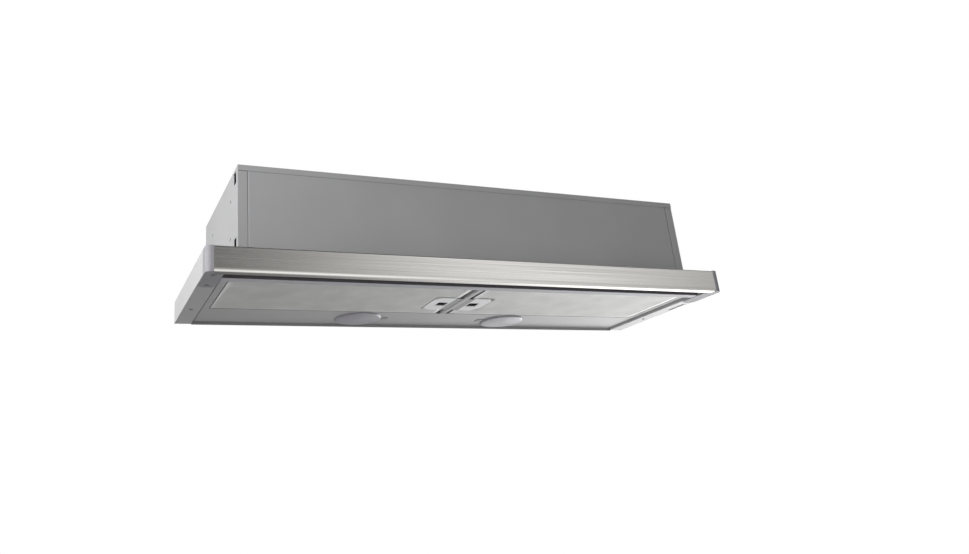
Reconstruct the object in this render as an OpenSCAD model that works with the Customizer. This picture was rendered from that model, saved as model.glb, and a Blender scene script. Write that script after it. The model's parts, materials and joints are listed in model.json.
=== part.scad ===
// Pull out range hood, closed, standing on its underside.
// X runs along the width, Y from the front to the wall, Z up.
// The origin lies under the middle of the closed hood.

/* [Overall] */
// Width over the end caps
hood_w = 898; // [760:1:1000]
// Depth from the fascia to the wall, closed
hood_d = 300; // [294:1:340]
// Height of the base, with its rails
base_h = 38; // [37.5:0.1:44]
// Distance of the casing's sides from the hood's sides
casing_inset = 50; // [49:1:60]
// Height of the casing's top above the underside
casing_top = 175; // [172:1:200]
// Setback of the casing's front from the fascia
casing_setback = 30; // [30:1:34]
// Thickness of the folded sheets
sheet_t = 1; // [0.8:0.1:1.1]

/* [Casing] */
// Width of the side panels' front flanges
side_flange_w = 14; // [11:0.5:20]
// Height of the lip that the top cover turns down in front
top_lip_h = 9; // [6:0.5:14]
// Thickness of that lip
top_lip_t = 0.8; // [0.5:0.1:0.9]
// Seam left between neighbouring sheets
seam = 0.5; // [0.3:0.1:0.8]
// Radius of the bend at the front panel's ends
panel_bend_r = 2; // [1.5:0.1:3]
// Depth of the returns on both sides of the front seams
panel_return = 8; // [6:0.5:12]
// Depth of the flanges that stiffen the casing
stiff_flange = 14; // [10:1:16]
// Depth of the clip slots in the side panels
clip_slot_d = 16; // [8:1:20]
// Height of the clip slots
clip_slot_h = 19; // [10:1:22]
// Distance of the clip slots from the casing's front
clip_slot_inset = 12; // [10:1:20]
// Distance of the upper slot from the casing's top
clip_slot_top = 5; // [4:1:12]
// Distance of the lower slot from the base
clip_slot_low = 9; // [6:1:14]
// Radius of the fixing holes in the side panels
fixing_r = 2.6; // [2:0.1:3.5]
// Distance between the side fixings along the depth
fixing_pitch_y = 150; // [100:1:170]
// Distance between the side fixings in height
fixing_pitch_z = 60; // [40:1:70]
// Distance between the top fixings along the width
hanger_pitch_x = 700; // [600:1:720]
// Distance between the top fixings along the depth
hanger_pitch_y = 200; // [150:1:210]

/* [Pull out section] */
// How far the section pulls out
travel = 160; // [100:1:165]
// Height of the fascia
fascia_h = 37; // [34:0.5:37]
// Height of the fascia's lower edge above the underside
fascia_z = 0.5; // [0.3:0.1:0.5]
// Outer radius of the fascia's rolled lower edge
lip_r = 6; // [3:0.5:8]
// Depth of the fascia's lower lip
lip_d = 14; // [11:0.5:14]
// Depth of the fascia's top flange
fascia_top_d = 27; // [24:0.5:28]
// Width of an end cap seen from the front
cap_w = 11.6; // [9:0.1:16]
// Depth of an end cap along the side
cap_d = 23; // [18:0.5:26]
// Corner radius of an end cap
cap_r = 8; // [4:0.5:9]
// Wall of the end caps
cap_t = 2; // [1.5:0.1:2.5]
// Length of the tongue under the rail
tongue_l = 80; // [60:1:90]
// Thickness of the tongue
tongue_t = 1.2; // [1:0.1:1.4]
// Width of the rails' lower flange
rail_w = 27; // [27:0.5:30]
// Depth of the finger recess
grip_d = 16; // [12:0.5:18]
// Height of the finger recess
grip_h = 23; // [16:0.5:23]
// Width of the plastic strip behind the recess
strip_d = 16; // [12:0.5:16]
// Wall of the plastic grip rail
grip_t = 2; // [1.6:0.1:2.4]
// How far the visor stays under the casing when pulled out
visor_lap = 10; // [6:1:20]
// Length of the slot near the right rail's outer edge
rail_slot_l = 45; // [20:1:60]
// Width of that slot
rail_slot_w = 5; // [3:0.5:6]

/* [Slides] */
// Height of the fixed slide channel
slide_h = 26; // [24:0.5:27]
// Height of the slide's lower edge
slide_z = 9.5; // [9:0.1:10]
// Wall of the slide channels
slide_t = 1.2; // [1:0.1:1.3]
// Step between nested channels
slide_step = 1.5; // [1.2:0.1:1.6]
// Running clearance of the glides
glide_gap = 0.3; // [0.2:0.05:0.4]
// Distance of the slides' rear ends from the wall
slide_wall = 10; // [8:1:20]
// Distance of the slides' front ends from the grip rail
slide_front = 2; // [2:1:12]

/* [Filters] */
// Height of the tray's lower face above the underside
tray_z = 5.5; // [5:0.1:6]
// Gap between the tray and each rail
tray_gap = 4; // [2:0.5:5]
// Height of the filters' lower face
filter_z = 6.1; // [6:0.1:6.6]
// Thickness of the filters
filter_t = 9; // [7:0.5:10]
// Width of the tray beside the filter opening
filter_margin = 10.5; // [10.5:0.5:22]
// Distance of the filter opening from the fascia
filter_y0 = 56; // [56:0.5:57]
// Depth of the strip that carries the lamps, from the filter opening to the wall
lamp_strip_d = 85; // [85:0.5:99]
// Distance of the latches from the rear edge of the filter opening
latch_from_rear = 63.5; // [60:0.5:66]
// Width of the filter frame's border
filter_border = 9; // [7:0.5:12]
// Thickness of each filter layer
layer_t = 0.8; // [0.5:0.1:1.2]
// Gap round the filters
filter_gap = 1; // [0.8:0.1:1.5]
// Width of the bar between the filters
bar_w = 9; // [8:0.5:12]
// Distance of the filters from that bar
bar_gap = 8.5; // [7:0.5:12]
// Radius of the pins that the filters swing on
hook_pin_r = 2; // [1.5:0.1:2.4]
// Length of a latch plate along the width
latch_l = 40; // [38:0.5:42]
// Width of a latch plate along the depth
latch_w = 74; // [66:1:78]
// Side of the latch window along the width
window_l = 18.5; // [14:0.5:20]
// Side of the latch window along the depth
window_w = 20; // [16:0.5:26]
// How far a latch slider moves
latch_travel = 5; // [3:0.5:5]

/* [Lamps] */
// Distance of each lamp from the middle
lamp_x = 143; // [110:1:200]
// Radius of the lamp lenses
lamp_r = 41; // [38:0.5:41]
// Height of the lens face above the underside
lamp_z = 0.6; // [0.5:0.1:1.5]
// Distance of the lamps' centres from the wall
lamp_inset = 42.5; // [42.5:0.5:43.5]
// Thickness of the lenses
lens_t = 1.6; // [1.2:0.1:2]
// Height of the cups that hold the bulbs
holder_h = 22; // [20:0.5:28]
// Wall of those cups
holder_t = 1.2; // [0.8:0.1:1.6]
// Radius of the bulbs
bulb_r = 14; // [10:0.5:18]
// Radius of the bulbs' bases
bulb_base_r = 9; // [6:0.5:9.5]

/* [Blower] */
// Outer radius of the impeller
impeller_r = 50; // [46:0.5:50]
// Radial depth of the impeller's blades
blade_depth = 11; // [8:0.5:12]
// Number of blades on each side of the impeller
blade_n = 28; // [16:1:36]
// Half of the impeller's width
impeller_half = 58; // [50:1:64]
// Height of the impeller's axis
blower_z = 104; // [103:0.5:106]
// Distance of the impeller's axis from the fascia
blower_y = 172; // [165:1:176]
// Radius of the motor shaft
shaft_r = 4; // [3:0.1:5]
// Radius of the motor
motor_r = 34; // [30:0.5:35]
// Wall of the blower housing
volute_t = 1.5; // [1.2:0.1:2]

/* [Outlet] */
// Outer radius of the duct collar
collar_r = 75; // [75:0.5:78]
// Height of the duct collar above the top
collar_h = 35; // [30:1:45]
// Wall of the duct collar
collar_t = 2.5; // [2:0.1:3]
// Radius of the pin that the flaps swing on
flap_pin_r = 2; // [1.5:0.1:2.5]
// Thickness of the flaps
flap_t = 1.5; // [1:0.1:1.6]

/* [Controls] */
// Distance of the controls from the middle
control_x = 310; // [240:1:330]
// Length of the control bezel
control_l = 120; // [112:1:130]
// Travel of the speed slider
speed_travel = 36; // [24:1:39]
// Travel of the light slider
light_travel = 12; // [6:1:14]

/* [Electrics] */
// Distance of the supply lead's inlet from the casing's right side
gland_side = 120; // [110:1:150]
// Distance of that inlet from the wall
gland_wall = 40; // [35:1:90]
// Radius of the hole for the inlet
gland_r = 6.2; // [5:0.1:8]
// Length of the electronics box
box_l = 100; // [80:1:110]
// Depth of the electronics box
box_d = 90; // [70:1:100]
// Height of the electronics box
box_h = 46; // [36:1:50]
// Distance of the electronics box from the casing's right side
box_side = 70; // [40:1:80]
// Distance of the electronics box from the wall
box_wall = 20; // [12:1:30]
// Radius of the capacitor
can_r = 15; // [12:0.5:17]
// Length of the capacitor
can_l = 58; // [40:1:80]
// Distance of the capacitor from the middle
can_x = 142; // [130:1:200]

/* [Screws] */
// Distance of the base's screws from the hood's side
base_screw_side = 13; // [11:0.1:14]
// Distance of the caps' front screws from the fascia
front_screw_y = 19; // [17:0.5:20]
// Distance of the tongues' screws from the fascia
cap_screw_y = 67.4; // [40:0.1:70]
// Distance of the rails' screws from the fascia
rail_screw_y = 206; // [120:0.5:260]

/* [Hidden] */
$fn = 64;

eps = 0.01;
LEFT = -1;
RIGHT = 1;

// Main planes
half_w = hood_w / 2;
casing_half = half_w - casing_inset;
y_front = -hood_d / 2;
y_wall = hood_d / 2;
y_casing = y_front + casing_setback;
cap_x = half_w - cap_w;
rail_x = half_w - rail_w;
tray_half = rail_x - tray_gap;
rear_half = rail_x - 0.3;
cover_z = casing_top - sheet_t;

// Grip rail, from front to rear
grip_y = y_front + lip_d;
grip_roof_z = fascia_z + 1 + grip_h;
strip_y = grip_y + grip_t + grip_d;
strip_end_y = strip_y + strip_d;
grip_half = rail_x - 0.5;
strip_z = 0.5;
visor_z = base_h - sheet_t - 3;
visor_y0 = strip_end_y - 12;
visor_y1 = y_casing + travel + visor_lap;
visor_half = tray_half - sheet_t - 2;

// Tray and filters
tray_y0 = strip_end_y + 2;
filter_half_w = tray_half - filter_margin;
filter_d = hood_d - filter_y0 - lamp_strip_d;
open_y0 = y_front + filter_y0;
open_y1 = open_y0 + filter_d;
filter_y_lo = open_y0 + filter_gap;
filter_y_hi = open_y1 - filter_gap;
filter_x_out = filter_half_w - 1.5 * filter_gap;
filter_x_in = bar_w / 2 + bar_gap;
pin_x = filter_x_out - 4;
pin_z = filter_z + filter_t / 2;
pin_gap = 0.1;
ear_t = 2;
ear_half = 5;
ear_y_front = open_y0 - sheet_t - 1 - ear_t;
ear_y_rear = open_y1 + sheet_t + 1;
latch_y = open_y1 - latch_from_rear;
latch_proud = 1;
window_x = filter_x_in + 7;
nose_half = 5;

// Lamps
lamp_y = y_wall - lamp_inset;
socket_r = lamp_r - 6;
holder_gap = 2.8;
holder_top = tray_z + sheet_t + holder_h;
roof_t = 0.5;

// Slides, measured outwards from the tray's side
slide_y1 = y_wall - slide_wall;
slide_y0 = strip_end_y + slide_front;
slide_x = tray_half;
middle_x = slide_x + slide_t + slide_step;
middle_z = slide_z + slide_t + slide_step;
middle_h = slide_h - 2 * (slide_t + slide_step);
inner_z = middle_z + slide_t + slide_step;
inner_h = middle_h - 2 * (slide_t + slide_step);
slide_lip_x = slide_x + 16;
inner_web_x = slide_lip_x + 1.5;

// Blower: the scroll starts at its tongue and ends level with the axis at the rear
by = y_front + blower_y;
scroll_start = 80;
scroll_r0 = impeller_r + 4 + volute_t;
scroll_r1 = scroll_r0 + 11;
scroll_half = impeller_half + 6;
scroll_step = 10;
inlet_r = impeller_r - blade_depth + 1;
outlet_y0 = by + scroll_r0 * cos(scroll_start);
outlet_y1 = by + scroll_r1;
outlet_y = (outlet_y0 + outlet_y1) / 2;

// Duct collar and flaps
flap_z = casing_top + 7;
flap_r = collar_r - collar_t - 0.8;
flap_knuckle_r = flap_pin_r + 1.2;
flap_bore_r = flap_pin_r + 0.1;
collar_screw_r = collar_r + 8.5;

// Controls sit in the fascia's top flange
control_y = y_front + 13;
control_w = 15;
control_top = fascia_z + fascia_h;
slider_l = 6;
slider_w = 3;
speed_slot_x = control_x - control_l / 2 + 12;
light_slot_x = speed_slot_x + speed_travel + 26;
slot_gap = 0.5;

// Screws
screw_r = 1.6;
screw_head_r = 3.2;
screw_hole_r = 1.8;
base_screw_x = half_w - base_screw_side;
front_screw = [base_screw_x, y_front + front_screw_y];
cap_screw = [base_screw_x, y_front + cap_screw_y];
rail_screw = [base_screw_x, y_front + rail_screw_y];
pilot_r = 1.2;
cap_hole = cap_screw + [-6, 6.6];
rail_hole = rail_screw + [-7, 10];

steel_grey = [0.62, 0.62, 0.63];
brushed = [0.72, 0.7, 0.66];
plastic_grey = [0.6, 0.6, 0.64];
mesh_grey = [0.66, 0.66, 0.66];
plate_grey = [0.82, 0.82, 0.83];
glass_grey = [0.8, 0.81, 0.84];
dark = [0.15, 0.15, 0.16];
nylon = [0.9, 0.9, 0.87];

// ---------- helpers ----------

// Mirrors a right hand piece to the left
module on_side(side) {
    if (side == LEFT) mirror([1, 0, 0]) children();
    else children();
}

module both_sides() {
    for (side = [LEFT, RIGHT]) on_side(side) children();
}

// A (y, z) profile run along X, centred
module along_x(len) {
    rotate([90, 0, 90]) linear_extrude(height = len, center = true) children();
}

// An (x, z) profile run along Y
module along_y(y0, y1) {
    translate([0, y1, 0]) rotate([90, 0, 0]) linear_extrude(height = y1 - y0) children();
}

// An (x, y) profile run along Z
module along_z(z0, z1) {
    translate([0, 0, z0]) linear_extrude(height = z1 - z0) children();
}

// Rectangle between two corners
module rect(x0, y0, x1, y1) {
    translate([x0, y0]) square([x1 - x0, y1 - y0]);
}

// Block between two corners
module block(x0, y0, z0, x1, y1, z1) {
    translate([x0, y0, z0]) cube([x1 - x0, y1 - y0, z1 - z0]);
}

// Sheet bend: a quarter ring about (cx, cy), in the quadrant given by the signs
module bend(cx, cy, sx, sy, r, t) {
    intersection() {
        translate([cx, cy]) difference() {
            circle(r);
            circle(r - t);
        }
        rect(min(cx, cx + sx * r), min(cy, cy + sy * r), max(cx, cx + sx * r), max(cy, cy + sy * r));
    }
}

// Flat headed screw: its head hangs below z, its shank stands up from it
module screw_up(p, z, head_h, shank) {
    translate([p[0], p[1], z - head_h]) cylinder(r = screw_head_r, h = head_h);
    translate([p[0], p[1], z]) cylinder(r = screw_r, h = shank);
}

// Pan head screw driven downwards from z
module screw_down(p, z, shank) {
    translate([p[0], p[1], z]) intersection() {
        cylinder(r = screw_head_r, h = 2);
        translate([0, 0, -2.4]) sphere(r = 4.4);
    }
    translate([p[0], p[1], z - shank]) cylinder(r = screw_r, h = shank);
}

module hole(p, z0, z1, r) {
    translate([p[0], p[1], z0]) cylinder(r = r, h = z1 - z0);
}

// ---------- pull out section ----------

// Brushed front sheet with a rolled lower lip and a top flange
module fascia() {
    z0 = fascia_z;
    z1 = fascia_z + fascia_h;
    top_r = 2;
    color(brushed) difference() {
        along_x(2 * cap_x) translate([y_front, 0]) {
            rect(0, z0 + lip_r, sheet_t, z1 - top_r);
            bend(top_r, z1 - top_r, -1, 1, top_r, sheet_t);
            rect(top_r, z1 - sheet_t, fascia_top_d, z1);
            bend(lip_r, z0 + lip_r, -1, -1, lip_r, sheet_t);
            rect(lip_r, z0, lip_d, z0 + sheet_t);
            rect(lip_d - sheet_t, z0, lip_d, z0 + 7);
        }
        translate([control_x, control_y, z1])
            cube([control_l - 6, control_w - 4, 6 * sheet_t], center = true);
    }
}

// Outline of an end cap seen from above, with its outer corner rounded
module cap_outline(inset) {
    x1 = half_w - inset;
    y0 = y_front + inset;
    r = cap_r - inset;
    difference() {
        rect(cap_x, y0, x1, y_front + cap_d);
        difference() {
            rect(x1 - r, y0 - 1, x1 + 1, y0 + r);
            translate([x1 - r, y0 + r]) circle(r);
        }
    }
}

// Moulded corner cap: hollow box, open at the rear, with a tongue below
module end_cap(side) {
    tongue_r = rail_w / 2;
    color(plastic_grey) on_side(side) difference() {
        union() {
            along_z(0, base_h) cap_outline(0);
            block(rail_x, y_front + lip_d, 0, half_w - 1, y_front + cap_d, tongue_t);
            along_z(0, tongue_t) {
                rect(rail_x, y_front + cap_d - 1, half_w, y_front + tongue_l - tongue_r);
                translate([rail_x + tongue_r, y_front + tongue_l - tongue_r]) circle(tongue_r);
            }
        }
        difference() {
            along_z(cap_t, base_h - cap_t) cap_outline(cap_t);
            along_z(0, base_h) translate([cap_x - 1, y_front]) square([1, cap_d]);
        }
        block(half_w - cap_w, y_front + cap_d - 3, cap_t, half_w - cap_t, y_front + cap_d + 1, base_h - cap_t);
        hole(front_screw, -1, 1.2, screw_head_r + 0.4);
        hole(front_screw, -1, cap_t + 1, screw_hole_r);
        hole(cap_screw, -1, tongue_t + 1, screw_head_r + 0.4);
        hole(cap_hole, -1, tongue_t + 1, pilot_r);
    }
}

// Plastic cross member: finger recess, rear strip and the ledge of the visor
module grip_rail() {
    color(plastic_grey) along_x(2 * grip_half) {
        rect(grip_y, fascia_z + 1, grip_y + grip_t, grip_roof_z + grip_t);
        rect(grip_y, grip_roof_z, strip_y + grip_t, grip_roof_z + grip_t);
        rect(strip_y, strip_z, strip_y + grip_t, grip_roof_z + grip_t);
        rect(strip_y, strip_z, strip_end_y, strip_z + grip_t);
        rect(strip_end_y - grip_t, strip_z, strip_end_y, visor_z);
        rect(visor_y0, visor_z - grip_t, strip_end_y, visor_z);
        rect(y_front + fascia_top_d - 6, grip_roof_z, y_front + fascia_top_d - 4,
            fascia_z + fascia_h - sheet_t);
    }
}

// Folded C-section rail that runs along the side of the base; the right one has a slot
module side_rail(side) {
    slot_y = y_front + 92;
    slot_x = half_w - 10;
    color(steel_grey) on_side(side) difference() {
        union() {
            along_y(y_front + cap_d, y_wall) {
                rect(half_w - sheet_t, tongue_t, half_w, base_h);
                rect(rail_x, tongue_t, half_w, tongue_t + sheet_t);
                rect(rail_x, tongue_t, rail_x + sheet_t, slide_z - 1.5);
            }
            block(rail_x + 4, y_front + fascia_top_d + seam, base_h - sheet_t, half_w, y_wall, base_h);
        }
        if (side == RIGHT)
            block(slot_x, slot_y, -1, slot_x + rail_slot_w, slot_y + rail_slot_l, tongue_t + 2 * sheet_t);
        hole(cap_screw, -1, tongue_t + 2 * sheet_t, screw_hole_r);
        hole(cap_hole, -1, tongue_t + 2 * sheet_t, pilot_r);
        hole(rail_screw, -1, tongue_t + 2 * sheet_t, screw_hole_r);
        hole(rail_hole, -1, tongue_t + 2 * sheet_t, pilot_r);
    }
}

// Sheet that closes the top of the pulled out space; its tab works the switch
module visor_plate() {
    color(steel_grey) {
        block(-visor_half, visor_y0, visor_z, visor_half, visor_y1, visor_z + sheet_t);
        block(-visor_half, visor_y1 - 40, visor_z - 5, -visor_half + sheet_t, visor_y1 - 28, visor_z);
    }
}

// Nylon pads at the visor's rear corners, under the runner brackets
module visor_glides() {
    color(nylon) both_sides()
        block(casing_half + 4, visor_y1 - 20, visor_z + sheet_t,
            visor_half - 2, visor_y1 - 3, base_h - sheet_t - glide_gap);
}

// Channel open towards the middle, with lips of length lip
module slide_channel(x, z, h, lip) {
    rect(x, z, x + slide_t, z + h);
    rect(x, z, x + lip, z + slide_t);
    rect(x, z + h - slide_t, x + lip, z + h);
}

module cabinet_slide(side) {
    color(steel_grey) on_side(side) along_y(slide_y0, slide_y1)
        slide_channel(slide_x, slide_z, slide_h, slide_lip_x - 2 - slide_x);
}

module slide_middle(side) {
    color(steel_grey) on_side(side) along_y(slide_y0, slide_y1)
        slide_channel(middle_x, middle_z, middle_h, slide_lip_x - middle_x);
}

module drawer_slide(side) {
    color(steel_grey) on_side(side) along_y(slide_y0, slide_y1)
        translate([2 * inner_web_x, 0]) mirror([1, 0])
            slide_channel(inner_web_x - slide_t, inner_z, inner_h, inner_web_x - middle_x - slide_t - slide_step);
}

// Pads that guide the middle channel: at its rear outside, at its front inside
module slide_glides(side) {
    pad_l = 30;
    pad_h = slide_step - glide_gap;
    x0 = middle_x + slide_t + 2;
    x1 = slide_lip_x - 3;
    low = middle_z - pad_h;
    high = middle_z + middle_h;
    color(nylon) on_side(side) {
        for (z = [low, high])
            block(x0, slide_y1 - pad_l - 4, z, x1, slide_y1 - 4, z + pad_h);
        for (z = [middle_z + slide_t, middle_z + middle_h - slide_t - pad_h])
            block(x0, slide_y0 + 4, z, x1, slide_y0 + 4 + pad_l, z + pad_h);
    }
}

// Tubes between the inner channels and the rails' outer walls
module slide_spacers() {
    color(steel_grey) both_sides()
        for (y = [slide_y0 + 40, slide_y1 - 40])
            translate([inner_web_x + slide_t, y, inner_z + inner_h / 2]) rotate([0, 90, 0]) difference() {
                cylinder(r = 5, h = half_w - sheet_t - inner_web_x - slide_t);
                translate([0, 0, -1]) cylinder(r = 2.2, h = half_w);
            }
}

module drawer_screws() {
    head = tongue_t - 0.3;
    color(dark) both_sides() {
        screw_up(front_screw, 1.2, head, 6);
        screw_up(cap_screw, tongue_t, head, 3);
        screw_up(rail_screw, tongue_t, head, 3);
    }
}

// ---------- controls ----------

module control_bezel() {
    slot_w = slider_w + 2 * slot_gap;
    color(dark) difference() {
        union() {
            translate([control_x, control_y, control_top + 0.5])
                cube([control_l, control_w, 1], center = true);
            translate([control_x, control_y, control_top - 2])
                cube([control_l - 7, control_w - 5, 4], center = true);
        }
        block(speed_slot_x - slot_gap, control_y - slot_w / 2, control_top - 5,
            speed_slot_x + slider_l + speed_travel + slot_gap, control_y + slot_w / 2, control_top + 2);
        block(light_slot_x - slot_gap, control_y - slot_w / 2, control_top - 5,
            light_slot_x + slider_l + light_travel + slot_gap, control_y + slot_w / 2, control_top + 2);
    }
}

// Slider knob: a stem in the slot and a ribbed cap above it
module slider_knob(x) {
    cap_l = slider_l + 5;
    cap_z = control_top + 1.3;
    color([0.75, 0.75, 0.76]) {
        block(x, control_y - slider_w / 2, control_top - 6, x + slider_l, control_y + slider_w / 2, cap_z);
        difference() {
            block(x - 2.5, control_y - 3.5, cap_z, x - 2.5 + cap_l, control_y + 3.5, cap_z + 2);
            for (i = [0:3])
                block(x - 1 + 2.4 * i, control_y - 4, cap_z + 1.3, x + 2.4 * i, control_y + 4, cap_z + 3);
        }
    }
}

module speed_knob() {
    slider_knob(speed_slot_x);
}

module light_knob() {
    slider_knob(light_slot_x);
}

// Board on the grip rail's roof with the two slide switches
module switch_board() {
    z0 = grip_roof_z + grip_t;
    z1 = control_top - 6 - glide_gap;
    y1 = y_front + fascia_top_d - 6.5;
    color([0.1, 0.35, 0.2]) {
        block(control_x - 58, y_front + 2.5, z0, control_x + 58, y1, z0 + 1.4);
        block(speed_slot_x - 4, control_y - 4, z0 + 1.4, speed_slot_x + speed_travel + 10, control_y + 4, z1);
        block(light_slot_x - 4, control_y - 4, z0 + 1.4, light_slot_x + light_travel + 10, control_y + 4, z1);
    }
}

// ---------- casing ----------

// Top sheet with the lip that shows above the front panel
module top_cover() {
    hx = hanger_pitch_x / 2;
    hy = hanger_pitch_y / 2;
    color(steel_grey) difference() {
        union() {
            block(-casing_half, y_casing - top_lip_t, cover_z, casing_half, y_wall, casing_top);
            block(-casing_half, y_casing - top_lip_t, casing_top - top_lip_h,
                casing_half, y_casing, cover_z + eps);
        }
        block(-scroll_half + volute_t, outlet_y0 + volute_t, cover_z - 1,
            scroll_half - volute_t, outlet_y1 - volute_t, casing_top + 1);
        for (x = [-hx, hx], y = [-hy, hy]) hole([x, y], cover_z - 1, casing_top + 1, fixing_r);
        for (p = cover_screws) hole(p, cover_z - 1, casing_top + 1, screw_hole_r);
        hole(gland, cover_z - 1, casing_top + 1, gland_r);
    }
}

cover_screws = [for (x = [-1, 1], y = [y_casing + 60, 0, y_wall - 30]) [x * (casing_half - 7), y]];
gland = [casing_half - gland_side, y_wall - gland_wall];

// Side sheet with its flanges, clip slots and fixing holes
module side_panel(side) {
    x_in = casing_half - sheet_t;
    mid_z = (base_h + casing_top) / 2;
    hy = fixing_pitch_y / 2;
    hz = fixing_pitch_z / 2;
    slot_y = y_casing + clip_slot_inset;
    flange_top = casing_top - top_lip_h - seam;
    color(steel_grey) on_side(side) difference() {
        union() {
            block(x_in, y_casing, base_h, casing_half, y_wall - sheet_t, cover_z);
            block(casing_half - side_flange_w, y_casing, base_h + 3, casing_half, y_casing + sheet_t, flange_top);
            block(casing_half - side_flange_w, y_casing, base_h + 3, casing_half - side_flange_w + sheet_t,
                y_casing + panel_return, flange_top);
            block(casing_half - stiff_flange, y_casing + 2, cover_z - sheet_t, casing_half, y_wall - sheet_t, cover_z);
            block(x_in, y_casing + 2, base_h, casing_half + stiff_flange - 2, y_wall - sheet_t, base_h + sheet_t);
        }
        for (z = [casing_top - clip_slot_top - clip_slot_h, base_h + clip_slot_low])
            block(x_in - 1, slot_y, z, casing_half + 1, slot_y + clip_slot_d, z + clip_slot_h);
        for (y = [-hy, hy], z = [mid_z - hz, mid_z + hz])
            translate([x_in - 1, y + 10, z]) rotate([0, 90, 0]) cylinder(r = fixing_r, h = sheet_t + 2);
        for (p = cover_screws) hole(p, cover_z - 2 * sheet_t, casing_top, screw_hole_r);
    }
}

// Front sheet, bent back at both ends and under the casing
module front_panel() {
    half = casing_half - side_flange_w - seam;
    r = panel_bend_r;
    color(steel_grey) {
        along_z(base_h, cover_z) translate([0, y_casing]) {
            rect(r - half, 0, half - r, sheet_t);
            for (s = [-1, 1]) {
                bend(s * (half - r), r, s, -1, r, sheet_t);
                rect(min(s * half, s * (half - sheet_t)), r, max(s * half, s * (half - sheet_t)), panel_return);
            }
        }
        block(-half, y_casing, base_h - sheet_t, half, y_casing + stiff_flange, base_h);
    }
}

// Rear sheet: wide behind the base, narrow behind the casing
module rear_panel() {
    color(steel_grey) along_y(y_wall - sheet_t, y_wall) {
        rect(-rear_half, 0, rear_half, base_h);
        rect(-casing_half, base_h - eps, casing_half, cover_z);
    }
}

// Bracket between casing and tray; the slides are fixed to its outer face
module runner_bracket(side) {
    foot = 9;
    color(steel_grey) on_side(side) {
        block(casing_half, y_casing + sheet_t, base_h - sheet_t, tray_half, y_wall - sheet_t, base_h);
        along_y(tray_y0, y_wall - sheet_t) {
            rect(tray_half - sheet_t, tray_z + sheet_t, tray_half, base_h);
            rect(tray_half - foot, tray_z + sheet_t, tray_half, tray_z + 2 * sheet_t);
        }
    }
}

// Fixed tray under the casing, with the filter opening and the lamp holes
module underside_panel() {
    wall_z = tray_z + 2 * sheet_t;
    y1 = y_wall - sheet_t;
    color(steel_grey) difference() {
        union() {
            block(-tray_half, tray_y0, tray_z, tray_half, y1, tray_z + sheet_t);
            block(-filter_half_w - sheet_t, open_y0 - sheet_t, tray_z, filter_half_w + sheet_t,
                open_y1 + sheet_t, wall_z);
        }
        block(-filter_half_w, open_y0, tray_z - 1, filter_half_w, open_y1, wall_z + 1);
        both_sides() hole([lamp_x, lamp_y], tray_z - 1, tray_z + 2 * sheet_t, socket_r);
    }
}

// Bar between the filters: a narrow rib below, and a hat above it
module centre_bar() {
    half = bar_w / 2;
    rib = 1.5;
    top_z = filter_z + filter_t;
    color(steel_grey) {
        along_y(open_y0 - 5, open_y1 + 5)
            polygon([[-half, tray_z], [1 - half, tray_z - rib], [half - 1, tray_z - rib], [half, tray_z]]);
        along_y(open_y0 + 1, open_y1 - 1) {
            rect(-half, tray_z - eps, sheet_t - half, top_z);
            rect(half - sheet_t, tray_z - eps, half, top_z);
            rect(-half, top_z - sheet_t, half, top_z);
        }
    }
}

// Ears on the tray that the filter pins turn in
module filter_hooks() {
    color(steel_grey) both_sides()
        for (y = [ear_y_front, ear_y_rear])
            difference() {
                along_y(y, y + ear_t) {
                    rect(pin_x - ear_half, tray_z + sheet_t, pin_x + ear_half, pin_z);
                    intersection() {
                        translate([pin_x, pin_z]) circle(ear_half);
                        rect(pin_x - ear_half, pin_z, pin_x + ear_half, pin_z + ear_half);
                    }
                }
                translate([pin_x, y + ear_t + 1, pin_z]) rotate([90, 0, 0])
                    cylinder(r = hook_pin_r + pin_gap, h = ear_t + 2);
            }
}

// ---------- grease filters ----------

// Folded aluminium frame with a pin at each outer corner
module filter_frame(side) {
    color(mesh_grey) on_side(side) {
        difference() {
            block(filter_x_in, filter_y_lo, filter_z, filter_x_out, filter_y_hi, filter_z + filter_t);
            block(filter_x_in + 1, filter_y_lo + 1, filter_z + 1, filter_x_out - 1, filter_y_hi - 1,
                filter_z + filter_t - 1);
            block(filter_x_in + filter_border, filter_y_lo + filter_border, filter_z - 1,
                filter_x_out - filter_border, filter_y_hi - filter_border, filter_z + filter_t + 1);
            latch_pocket(filter_z - 1, filter_z + filter_t - 1);
        }
        for (y = [ear_y_front, filter_y_hi - eps])
            translate([pin_x, y, pin_z]) rotate([-90, 0, 0])
                cylinder(r = hook_pin_r, h = filter_y_lo - ear_y_front + eps);
    }
}

// Space cut in the filter for the latch
module latch_pocket(z0, z1) {
    block(filter_x_in - 1, latch_y - latch_w / 2 + 2, z0, filter_x_in + latch_l - 2,
        latch_y + latch_w / 2 - 2, z1);
}

// Three layers of expanded aluminium between the folds of the frame
module filter_mesh(side) {
    low = filter_z + 1;
    step = (filter_t - 2 - layer_t) / 2;
    color(mesh_grey) on_side(side) difference() {
        for (i = [0:2])
            block(filter_x_in + 1, filter_y_lo + 1, low + i * step, filter_x_out - 1, filter_y_hi - 1,
                low + i * step + layer_t);
        latch_pocket(filter_z - 1, filter_z + filter_t);
    }
}

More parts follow.
